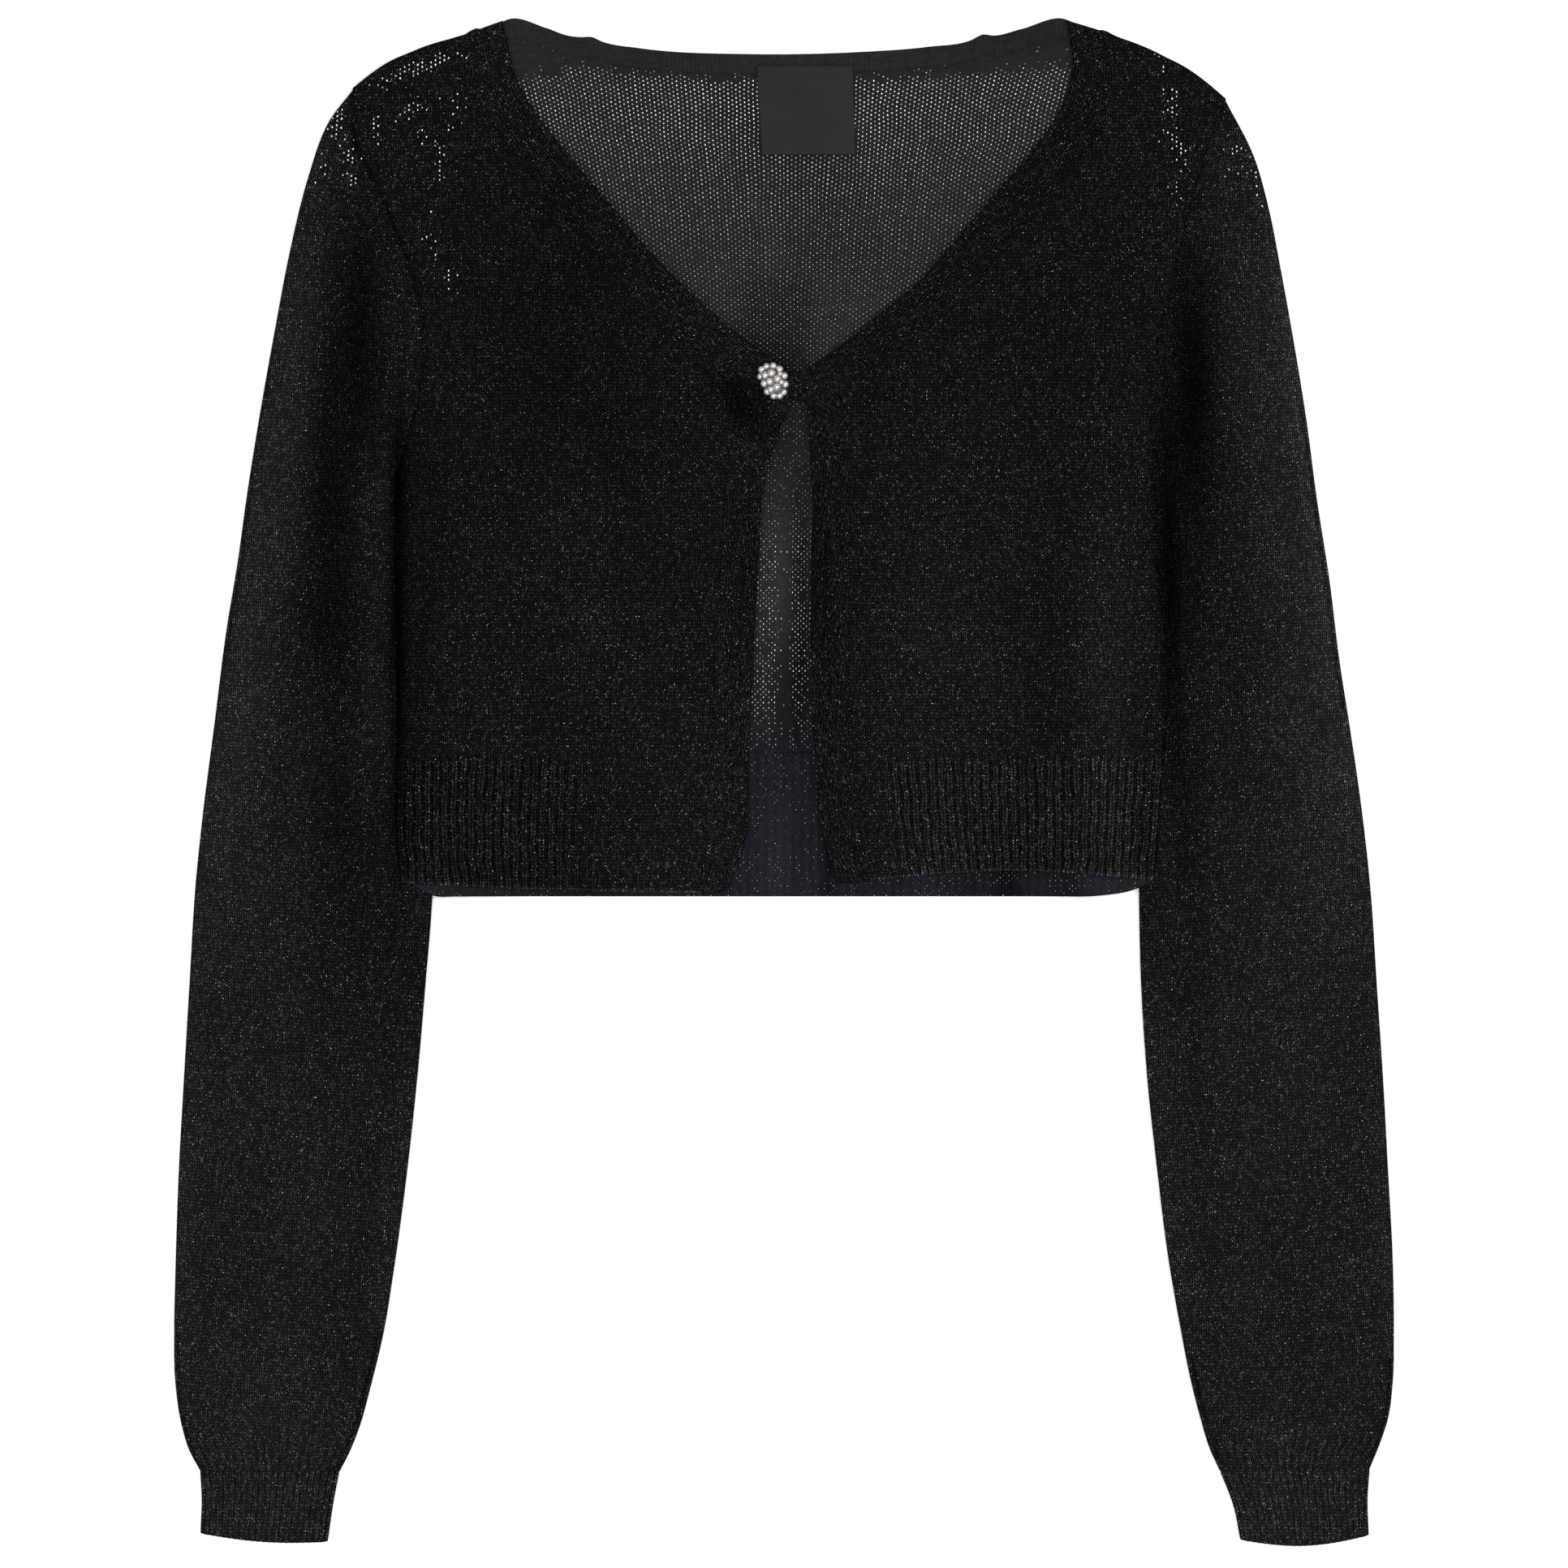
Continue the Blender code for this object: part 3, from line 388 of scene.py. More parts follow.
SLEEVE_SHADE = table(
    "top_x top_y low_x low_y half_width rise",
    (-193, 305, -247, -90, 27, 1.3),
    (-216, 60, -232, -420, 84, 0.7),
    (-250, -20, -256, -330, 12, 0.6),
    (-216, -225, -216, -340, 60, 0.36),
    (-190, 262, -188, -50, 17, -0.5),
    (-177, 245, -174, 125, 13, -0.55),
    (-182, 20, -174, -110, 24, -0.3),
    (-172, 150, -170, 0, 8, 0.15),
    (-162, 172, -162, -75, 6, -0.6),
    (-161, 160, -162, 108, 5.5, -0.3),
    (-151, -90, -174, -275, 13, 0.55),
    (-196, 10, -192, -150, 26, -0.22),
    (-218, -60, -226, -310, 26, -0.14),
    (-216, -294, -216, -350, 60, 0.18),
    (194, 305, 247, -90, 44, 1.1),
    (197, 300, 243, -40, 9, 1.2),
    (206, 60, 224, -420, 86, 0.7),
    (250, -60, 262, -330, 12, 0.6),
    (216, -225, 216, -340, 60, 0.2),
    (168, 250, 168, 40, 17, -0.55),
    (176, 230, 178, 115, 15, -0.4),
    (174, 20, 170, -140, 12, -0.2),
    (158, 168, 166, -40, 7.5, -0.55),
    (170, 60, 170, -60, 12, -0.2),
    (149, -60, 171, -275, 15, 0.6),
    (210, -150, 222, -300, 24, -0.3),
    (218, -294, 218, -350, 60, 0.18),
)
BACK_SHADE = table(
    "top_x top_y low_x low_y half_width rise",
    (-12, 262, -13, 176, 3, -0.10),
    (-4, 262, -6, 170, 9, 0.12),
    (-6, 220, 0, 110, 30, -0.36),
    (-4, 214, -4, 158, 26, -0.3),
    (0, 320, 0, 200, 150, -0.25),
    (-2, 130, -2, 40, 3.5, 0.25),
    (7, 135, 7, 10, 6, -0.62),
    (1, 66, 1, 8, 9, -0.25),
    (-16, 250, -9, 237, 3, 0.35),
    (-90, 20, -90, -80, 70, -0.3),
    (90, 20, 90, -80, 70, -0.3),
    (0, 70, 0, -90, 200, -0.3),
    (19.5, -8, 18.5, -64, 6, -0.4),
    (-3, 0, -4, -64, 12, 0.2),
    (60, -22, 62, -62, 16, 0.2),
    (93, -22, 95, -62, 10, -0.32),
    (118, -22, 120, -62, 9, -0.25),
)
# Where the outside gapes, with the lit pale ground painted into its gaps
OUTER_GAPS = table(
    "top_x top_y low_x low_y half_width rise",
    (-131, 309, -174, 290, 11, 0.85),
    (-172, 283, -171, 265, 3.5, 0.7),
    (-151, 288, -161, 274, 8, 0.6),
    (-152, 278, -151, 264, 5, 0.5),
    (-136, 288, -139, 271, 7, 0.35),
    (-143, 269, -143.5, 250, 3.2, 0.8),
    (-145, 247, -147, 232, 4.5, 0.4),
    (-148, 230, -147, 219, 3.5, 0.5),
    (-138, 218, -140, 206, 5, 0.5),
    (-189, 286, -187, 268, 6, 0.75),
    (-184, 270, -180, 250, 5, 0.6),
    (-193, 262, -196, 240, 4, 0.3),
    (157, 307, 160, 297, 6, 0.6),
    (162, 292, 163, 278, 6, 0.65),
    (160, 276, 170, 256, 7, 0.5),
    (166, 258, 166, 236, 6, 0.2),
    (187, 270, 190, 249, 6, 0.55),
    (196, 262, 200, 240, 4, 0.3),
)
# How far the inside of the back gapes: up its middle from the hem to the neck
INNER_GAPS = table(
    "y share gape",
    (12, 0.25, 0.2),
    (20, 0.5, 0.4),
    (30, 0.7, 0.55),
    (65, 0.7, 0.55),
    (85, 0.75, 0.58),
    (103, 0.7, 0.45),
    (112, 0.5, 0.2),
    (160, 0.8, 0.15),
    (185, 0.95, 0.2),
    (215, 1, 0.32),
    (250, 1, 0.56),
    (280, 1, 0.86),
    (300, 1, 0.86),
)
# Sizes of its stitches: the gaps of one row lie an across apart, and those of the next row half of
# it to the side and half a down lower
INNER_STITCH = table(
    "y across down",
    (-60, 2.45, 2.2),
    (60, 2.45, 2.2),
    (130, 2.55, 2.1),
    (190, 2.85, 2.02),
    (230, 3.15, 1.95),
    (270, 3.6, 1.8),
    (325, 3.7, 1.75),
)
# Lower bound of the closed knit beside the back neckband
NECK_CLOSED = (
    (-118.0, 292.0), (-109.0, 296.0), (-94.0, 299.0), (-86.0, 303.0), (-73.0, 300.0), (-56.0, 299.5),
    (-40.0, 297.5), (0.0, 297.0), (60.0, 298.0), (100.0, 301.0), (106.0, 302.0), (122.0, 304.0),
)
INNER_LEAN = 0.25  # of the stitches' columns away from the middle, near the neck
INNER_LEAN_REACH = (20.0, 80.0)  # distance from the middle where it starts, and over which it grows
INNER_LEAN_FROM = (220.0, 300.0)  # heights between which it grows
INNER_STEPS = 200  # in which the rows of the inside are counted up
HEM_FURROW = 0.25  # depth of the furrows in the back hem
# The button's beads, from its middle before it is turned: 12 round its edge and 8 over its top
BEADS = table(
    "x y size rise",
    (-3.8, 5.6, 1, 0.9), (-1.5, 6.4, 1, 0.9), (1.2, 5.9, 1.02, 0.9), (3.5, 4, 1.02, 0.9),
    (4.8, 0.9, 1.02, 0.9), (4.5, -2.6, 1, 0.9), (3.2, -5.5, 0.98, 0.9), (1.2, -6.6, 0.98, 0.9),
    (-1.3, -6.2, 0.98, 0.9), (-3.5, -4, 0.98, 0.9), (-4.1, -0.5, 1, 0.9), (-4.9, 2.9, 0.95, 0.9),
    (-3, 2.7, 1.05, 0.85), (-0.2, 3, 1.12, 0.85), (1.7, 0.1, 1.1, 0.82), (-1.7, -0.3, 1.05, 0.82),
    (0.7, -3.2, 1.12, 0.85), (-1.9, -3.6, 1, 0.85), (3.2, 2, 0.8, 0.8), (3, -1.5, 0.8, 0.8),
)
DOME_SHARE = 0.72  # height of the metal that shows between the beads, as a share of the dome's
DOME_SEGMENTS = (48, 24)  # round it, and from its foot to its top
BEAD_DETAIL = 4  # times that a bead's faces are divided
SHANK_SET = 1.0  # how far the shank goes into the dome
SHANK_SEGMENTS = 24

# Ribs, bands and seams
RIB_HOLLOW = 0.25  # share of a rib that its hollow takes
CUFF_TUCK = 1.0  # the cuff runs this far into the sleeve
CUFF_FURROW_SHADE = 0.6  # how much painted shade lies in the hollows between its ribs
CUFF_GAIN = {"right": 1.2, "left": 1.3}  # in tone, against the painted shade of its furrows
SLEEVE_RIB = (262.0, 284.0)  # the sleeve takes up the cuff's ribs between these distances below the middle
HEM_RIB_REACH = {"right": (28.0, 75.0), "left": (0.0, 25.0)}  # the ribs grow in, so far from the band
HEM_RIB_ROWS = (0, 4)  # and over these rows below the seam
HEM_TONE = {"right": 0.2, "left": 0.45}  # gain of the ribs in tone, against the painted shade of their hollows
HEM_HIGHLIGHT_ROWS = (2.2, 1.2)  # a painted highlight on the hem's rolled edge grows between these rows from its last
# gain in tone of that painted highlight
HEM_EDGE_HIGHLIGHT = 3.0
HEM_BLUE = (12.0, 32.0)  # heights between which the blue of the hem's inside dies out on the back
BACK_HEM_TONE = (0.85, 1.1)  # tone in a furrow, darker as painted shade, and on a rib
BACK_HEM_GAPS = 0.3  # share of its stitches that gape, and how far
BACK_HEM_GAPE = 0.12
BAND_WALE = 2.1  # from one column of a band's stitches to the next
BAND_COURSE = 1.42
BAND_WANDER = 2.2  # its columns stray so many times as far as those of the rest
BAND_TONE = {"right": 1.13, "left": 0.96}
BAND_HOLLOW = 0.75  # height of the band between its ridges, as a share of theirs
NECK_RIB = 1.7  # from one fine rib of the neckband to the next
NECK_RIB_RISE = 0.25
NECK_TURN = (0.45, 1.0)  # shares of its height between which its doubled strip thins
NECK_TONE = (0.795, 1.045)  # tone in a furrow, darker as painted shade, and on a rib
SEAM_SHADE = {"right": (0.15, 0.5), "left": (0.06, 0.12)}  # painted shade in an armhole seam's groove, low and high up
SEAM_SHADE_FROM = (195.0, 240.0)  # heights between which the painted shade deepens
SEAM_HALF_WIDTH = 1.4
SLEEVE_GAPE = 0.3  # how far the inside of a sleeve or front gapes
# limits of the gain in tone from painted light and shade
TONE_RANGE = (0.1, 3.0)

# Where the inside of the back has gaps
CLOSED_EDGE = (-1.5, 5.0)  # they open between these distances below the closed knit at the neck
STRAY_GAPS = 0.05  # share of them in the closed knit
STRAY_FROM = (200.0, 280.0)  # heights between which that share grows
CLOSED_GAPE = 0.4  # how wide they are there
MIDDLE_X = 0.2  # up the back's middle runs a line with few gaps
MIDDLE_WIDTH = (1.8, 4.2)  # distances from it between which the gaps come back
MIDDLE_CLOSED = 0.85  # share of its gaps that are closed
MIDDLE_TOP = (110.0, 160.0)  # heights between which it ends
WIDE_GAPE = (0.75, 0.93)  # of the gaps near the sides and near the middle
WIDE_REACH = (25.0, 100.0)  # distances from the middle between which it changes

# The finishes
INSIDE = "Charcoal knit inside"
OUTSIDE = "Black knit"
BAND_OUTSIDE = "Black band"
SATIN = "Satin"
PEARLS = "Pearl"
METAL = "Warm metal"
GROUND = "Pale ground"
# What the finishes read from a piece: its painted light and shade as a gain in tone, the share of gaps
# and how far they gape, the blue of the hem's inside, and how much painted shade lies between its ribs.
# A piece gives those that differ from these
PLAIN_VALUES = {"tone": 1.0, "sheer": 0.0, "gape": 0.0, "blue": 0.0, "rib": 0.0}
GLINT_COLOUR = (0.80, 0.82, 0.86)
OUTER_GAP_CELL = (3.7, 0.95)  # from one gap of the outside to the next, across and down
INNER_CELL = (3.0, 1.0)  # the same on the inside, about
PEARL_CLOUDS = 700.0  # how fine, for each metre
METAL_GRAIN = 900.0
SATIN_RELIEF = 0.00008  # in metres
METAL_RELIEF = 0.0002

# The studio, in metres
FLOOR_SIZE = 3.0
FLOOR_DROP = 0.0003
OVERHEAD_AT = (0.0, 0.1, 2.2)
OVERHEAD_SIZE = 1.8
SOFTBOXES = {"softbox_right": (0.95, 0.25, 1.3), "softbox_near": (-0.35, -0.95, 1.3)}
SOFTBOX_SIZE = 0.35

# The camera
LENS = 85.0
SENSOR = 36.0
CAMERA_Y = -1.0
GARMENT_MIDDLE = 5.0  # height at which the frame's width is measured


# ---- the laid form, on arrays of plan points ----


def clamp(value):
    return np.clip(value, 0.0, 1.0)


def ramp(value, start, full):
    """A smooth step from 0 at start to 1 at full."""
    share = clamp((value - start) / (full - start))
    return share * share * (3 - 2 * share)


def between(a, b, share):
    return a + (b - a) * share


def plan(row, prefix=""):
    return np.array((getattr(row, prefix + "x"), getattr(row, prefix + "y")))


def plans(rows, prefix=""):
    return np.array([plan(row, prefix) for row in rows])


def smooth_curve(knots, values, at):
    """A curve through values at rising knots, without bulges where the knots are uneven."""
    knots, values, at = np.asarray(knots, float), np.asarray(values, float), np.asarray(at, float)
    steps = np.diff(knots)[:, None]
    slopes = np.diff(values, axis=0) / steps
    inner = (slopes[:-1] * steps[1:] + slopes[1:] * steps[:-1]) / (steps[:-1] + steps[1:])
    tangents = np.concatenate([slopes[:1], inner, slopes[-1:]])
    n = np.clip(np.searchsorted(knots, at, side="right") - 1, 0, len(steps) - 1)
    h = steps[n]
    t = ((at - knots[n]) / h[:, 0])[:, None]
    return (
        values[n] * (2 * t**3 - 3 * t**2 + 1)
        + values[n + 1] * (3 * t**2 - 2 * t**3)
        + tangents[n] * h * (t**3 - 2 * t**2 + t)
        + tangents[n + 1] * h * (t**3 - t**2)
    )


def distances(steps):
    """How far along each point is, from the steps between them."""
    return np.concatenate([[0.0], np.cumsum(steps)])


def refine_rows(grid, spacing):
    """The grid with smooth rows added until they are about spacing apart."""
    knots = distances(np.linalg.norm(np.diff(grid[..., :2], axis=0), axis=2).mean(axis=1))
    at = [knots[:1]]
    for low, high in zip(knots, knots[1:]):
        count = max(round((high - low) / spacing), 1)
        at.append(np.linspace(low, high, count + 1)[1:])
    at = np.concatenate(at)
    fine = smooth_curve(knots, grid.reshape(len(grid), -1), at)
    return fine.reshape(len(at), *grid.shape[1:])


def refine(grid, row_spacing, column_spacing):
    grid = refine_rows(np.asarray(grid, float), row_spacing)
    return refine_rows(grid.swapaxes(0, 1), column_spacing).swapaxes(0, 1)


def along(points, share):
    """Points at shares of a smooth curve's length, with even steps between its points."""
    steps = np.linalg.norm(np.diff(points, axis=0), axis=1)
    knots = distances(steps)
    left = np.asarray(share) * knots[-1]
    last = len(steps) - 1
    n = np.clip(np.searchsorted(knots, left, side="right") - 1, 0, last)
    t = clamp((left - knots[n]) / steps[n])[:, None]
    a, b = points[n], points[n + 1]
    before, after = points[np.maximum(n - 1, 0)], points[np.minimum(n + 2, last + 1)]
    return 0.5 * (
        2 * a
        + (b - before) * t
        + (2 * before - 5 * a + 4 * b - after) * t**2
        + (3 * a - before - 3 * b + after) * t**3
    )


def armhole(side, share, depth=1.0):
    """Points at shares of the armhole, from the shoulder tip to the underarm. At a depth of 0 it
    is straight."""
    points = plans(ARMHOLE[side])
    share = np.asarray(share)
    straight = between(points[0], points[-1], share[:, None])
    return between(straight, along(points, share), depth)


def body_edge(side, depth=1.0):
    upper = armhole(side, np.arange(ARMHOLE_ROWS + 1) / ARMHOLE_ROWS, depth)
    return np.concatenate([upper, plans(SIDE[side])])


BODY_EDGE = {side: body_edge(side) for side in ("right", "left")}


def edge_x(side, y):
    edge = BODY_EDGE[side]
    return np.interp(-y, -edge[:, 1], np.abs(edge[:, 0]))


def shoulder_y(side, x):
    """Height of the shoulder line, from the tip over the band to the neck."""
    tip, neck = ARMHOLE[side][0], BAND[side][0]
    share = (abs(tip.x) - np.abs(x)) / (abs(tip.x) - abs(neck.seam_x))
    outer = between(tip.y, neck.seam_y, clamp(share)) + SHOULDER_BOW * np.sin(math.pi * clamp(share))
    inner = between(neck.seam_y, neck.free_y, clamp((neck.seam_x - x) / (neck.seam_x - neck.free_x)))
    return np.where(share < 1, outer, inner)


def folds(rows, x, y):
    """The soft ridges and troughs of a table, summed at each point."""
    total = np.zeros(np.broadcast(x, y).shape)
    for fold in rows:
        share = clamp((fold.top_y - y) / (fold.top_y - fold.low_y))
        offset = (x - between(fold.top_x, fold.low_x, share)) / fold.half_width
        across = np.cos(np.clip(offset, -1, 1) * math.pi / 2) ** 2
        total = total + fold.rise * across * np.sin(share * math.pi) ** FOLD_TAPER
    return total


def side_lift(side, x, y):
    inset = edge_x(side, y) - np.abs(x)
    start, full = LIFT_FROM[side]
    return LIFT * (1 - ramp(inset, *LIFT_REACH)) * ramp(-y, -start, -full)


def back_under(x, y):
    """Height of the back's underside: on the table, and up on the sleeves beside its side edges."""
    return np.where(x < 0, side_lift("right", x, y), side_lift("left", x, y))


def front_under(side, x, y):
    """Height of a front's underside: on the back, with air and soft folds away from the edges."""
    inset = edge_x(side, y) - np.abs(x)
    puff = PUFF * between(PUFF_HEM_SHARE, 1.0, ramp(y, *PUFF_HEM))
    loose = ramp(inset, *PUFF_EDGE) * ramp(shoulder_y(side, x) - y, *PUFF_SHOULDER)
    height = back_under(x, y) + STACK + loose * (puff + folds(BODY_FOLDS, x, y))
    if side == "right":
        reach = np.hypot(x - BUTTON_AT[0], y - BUTTON_AT[1])
        height = height + LAP * (1 - ramp(reach, *LAP_REACH))
    return height


def seam_edge(rows):
    """The panel's edge along the band, a seam's gap away from it."""
    seam, free = plans(rows, "seam_"), plans(rows, "free_")
    outward = seam - free
    return seam + outward / np.linalg.norm(outward, axis=1, keepdims=True) * SEAM_GAP


def across(start, end, middle, both_sides=False):
    """Points on a line from a side edge: the side's stations, then shares of the rest."""
    length = np.linalg.norm(end - start)
    near = np.array(SIDE_STATIONS) * min(length / FULL_ROW, 1.0)
    far = length - near[::-1] if both_sides else np.array([length])
    distances = np.concatenate([near, between(near[-1], far[0], np.array(middle)), far])
    return start + (end - start) / length * distances[:, None]


def arch(row, rise):
    lift = rise * np.sin(math.pi * np.arange(len(row)) / (len(row) - 1))
    return row + np.stack([np.zeros(len(row)), lift], axis=1)


def front_grid(side):
    outer = BODY_EDGE[side]
    inner = seam_edge(BAND[side][: len(outer)])
    rows = [across(a, b, FRONT_MIDDLE) for a, b in zip(outer, inner)]
    bows = [SHOULDER_BOW * max(1 - n / SHOULDER_ROWS, 0) for n in range(len(rows))]
    return np.array([arch(row, bow) for row, bow in zip(rows, bows)])


def back_grid():
    edges = [body_edge(side, BACK_ARMHOLE_DEPTH) for side in ("right", "left")]
    start = edges[0][0, 0] + SIDE_STATIONS[-1]
    end = edges[1][0, 0] - SIDE_STATIONS[-1]
    middle = [(row.x - start) / (end - start) for row in BACK_NECK]
    rows = np.array([across(a, b, middle, both_sides=True) for a, b in zip(*edges)])
    columns = len(SIDE_STATIONS)
    tops = np.concatenate([
        shoulder_y("right", rows[0, :columns, 0]),
        [row.y - NECKBAND_HEIGHT - SEAM_GAP for row in BACK_NECK],
        shoulder_y("left", rows[0, -columns:, 0]),
    ])
    fan = np.maximum(1 - np.arange(len(rows)) / ARMHOLE_ROWS, 0)
    rows[..., 1] += fan[:, None] * (tops - rows[0, :, 1])
    return rows


def neckband_grid():
    top = plans(BACK_NECK)
    return np.array([top, top - (0, NECKBAND_HEIGHT)])


def band_grid(side):
    free, seam = plans(BAND[side], "free_"), plans(BAND[side], "seam_")
    return np.stack([free, seam], axis=1)


def hem_grid(side):
    seam = seam_edge(BAND[side][-3:])
    outer = np.array([plan(SIDE[side][-1]), HEM_MIDDLE[side], HEM_CORNER[side]])
    for edge in (outer, seam):
        edge[0, 1] -= SEAM_GAP
    return np.stack([outer, seam], axis=1)


def back_hem_grid():
    starts = [plan(SIDE["right"][-1]) - (0, SEAM_GAP), BACK_HEM_MIDDLE["right"], plan(BACK_HEM[0])]
    ends = [plan(SIDE["left"][-1]) - (0, SEAM_GAP), BACK_HEM_MIDDLE["left"], plan(BACK_HEM[-1])]
    rows = [across(np.array(a), np.array(b), BACK_HEM_MIDDLES, True) for a, b in zip(starts, ends)]
    edge = plans(BACK_HEM)
    rows[-1][:, 1] = np.interp(rows[-1][:, 0], edge[:, 0], edge[:, 1])
    return np.array(rows)


def flat_ring(start, end, edge_height, over, inset, tops, unders, bend):
    """One loop round a flattened tube: over its top from the outer fold to the inner one, and back
    along its underside. over(at, distance, between_folds) is the height of its outer skin's top.
    tops and unders place the points between the rounded folds, as shares of the way across."""
    line = end - start
    width, middle = np.linalg.norm(line), edge_height / 2
    step = line / width
    half = middle - inset
    low, high = inset, width - inset
    folded = half * np.array(FOLD_ROUNDING)

    def points_at(distance, depth):
        return start + step * distance[:, None] + bend(distance / width, depth)

    def level(distance):
        near = np.clip(np.minimum(distance - low, high - distance) / half, 0, 1)
        return np.sqrt(1 - (1 - near) ** 2)

    def inside(share):
        return between(low + half, high - half, np.asarray(share))

    top = np.concatenate([[low], low + folded, inside(tops), high - folded[::-1], [high]])
    under = np.concatenate([high - folded, inside(unders)[::-1], low + folded[::-1]])
    between_folds = np.zeros(len(top), bool)
    between_folds[len(folded) + 1 : -len(folded) - 1] = True
    at = points_at(top, 1.0)
    top_z = middle + (over(at, top, between_folds) - inset - middle) * level(top)
    under_z = middle - half * level(under)
    return np.concatenate([
        np.column_stack([at, top_z]),
        np.column_stack([points_at(under, BACK_ARMHOLE_DEPTH), under_z]),
    ])


def fine_rows(rows, spacing, ends=("out_", "in_")):
    """A table's rows with smooth ones between them, about spacing apart."""
    middles = sum(plans(rows, prefix) for prefix in ends) / len(ends)
    knots = distances(np.linalg.norm(np.diff(middles, axis=0), axis=1))
    at = np.linspace(0, knots[-1], round(knots[-1] / spacing) + 1)
    return [type(rows[0])(*values) for values in smooth_curve(knots, rows, at)]


def sleeve_ring(row, inset, side):
    start, end = plan(row, "out_"), plan(row, "in_")
    width = np.linalg.norm(end - start)
    loose = width - row.pressed
    edge_height = between(STACK + WALL, SLEEVE_EDGE, clamp(row.rise / FULL_EDGE_RISE))

    def places(count):
        stations = np.arange(1, count) / count
        return (stations * width - edge_height / 2) / (width - edge_height)

    def over(at, distance, _between_folds):
        hump = np.sin(math.pi * clamp(distance / loose)) ** SLEEVE_FULLNESS
        fold = folds(SLEEVE_FOLDS, at[:, 0], at[:, 1]) * np.minimum(hump * 2, 1.0)
        rise = np.maximum(row.rise * hump + fold, 0.0)
        return edge_height + np.where(distance < loose, rise, 0.0)

    def bend(share, depth):
        return (armhole(side, share, depth) - armhole(side, share, 0.0)) * max(row.bow, 0.0)

    return flat_ring(
        start, end, edge_height, over, inset, places(SLEEVE_TOPS), places(SLEEVE_UNDERS), bend,
    )


def cuff_ring(row, inset):
    tops = np.arange(CUFF_RIB_COUNT * RIB_COLUMNS + 1) / (CUFF_RIB_COUNT * RIB_COLUMNS)

    def over(_at, distance, between_folds):
        height = np.full(len(distance), CUFF_HEIGHT)
        if not inset:
            height[between_folds] += CUFF_RIB_RISE * rib_rise(tops * CUFF_RIB_COUNT)
        return height

    def bend(share, _depth):
        return np.stack([np.zeros(len(share)), row.bow * np.sin(math.pi * share)], axis=1)

    start, end = plan(row, "out_"), plan(row, "in_")
    return flat_ring(start, end, CUFF_HEIGHT, over, inset, tops, CUFF_UNDERS, bend)


def rib_rise(ribs):
    """A rounded rib's height, as a share, where ribs counts from one hollow to the next."""
    return (0.5 - 0.5 * np.cos(math.tau * ribs)) ** RIB_ROUNDING


# ---- meshes ----


def set_attributes(mesh, on_all, uv, values):
    """Stores stitch coordinates and named values. They are given for the outer skin's grid, and
    on_all carries them to all vertices."""
    corners = np.empty(len(mesh.loops), int)
    mesh.loops.foreach_get("vertex_index", corners)
    layer = mesh.uv_layers.new(name=STITCH_MAP)
    layer.data.foreach_set("uv", on_all(uv)[corners].astype(np.float32).ravel())
    for name, numbers in {**PLAIN_VALUES, **values}.items():
        attribute = mesh.attributes.new(name, "FLOAT", "POINT")
        numbers = on_all(np.broadcast_to(numbers, uv.shape[:2]))
        attribute.data.foreach_set("value", numbers.astype(np.float32).ravel())


def link_object(name, data):
    """Puts a mesh, lamp or camera in the scene as an object."""
    made = bpy.data.objects.new(name, data)
    bpy.context.scene.collection.objects.link(made)
    return made


def build_piece(name, points, faces, on_all, uv, values, finishes, which):
    """A mesh object with values. Its faces have the finishes that which numbers."""
    mesh = bpy.data.meshes.new(name)
    mesh.from_pydata((points * MM).tolist(), [], faces.tolist())
    set_attributes(mesh, on_all, uv, values)
    for finish in finishes:
        mesh.materials.append(bpy.data.materials[finish])
    mesh.polygons.foreach_set("material_index", which.astype(np.int32))
    mesh.shade_smooth()
    return link_object(name, mesh)


def grid_faces(index):
    """Quads over an array of vertex numbers, whose rows run down and whose columns run right."""
    corners = (index[:-1, :-1], index[1:, :-1], index[1:, 1:], index[:-1, 1:])
    return np.stack([corner.ravel() for corner in corners], axis=1)


def plan_area(grid):
    """Area of a grid of plan points, in square millimetres."""
    a, b = grid[1:, 1:] - grid[:-1, :-1], grid[1:, :-1] - grid[:-1, 1:]
    return np.abs(a[..., 0] * b[..., 1] - a[..., 1] * b[..., 0]).sum() / 2


def rim_of(rows, columns):
    """The rows and the columns of a grid's outermost points, once round."""
    down, right = np.arange(rows - 1), np.arange(columns - 1)
    last_row, last_column = rows - 1, columns - 1
    return (
        np.concatenate([0 * right, down, 0 * right + last_row, last_row - down]),
        np.concatenate([right, 0 * down + last_column, last_column - right, 0 * down]),
    )


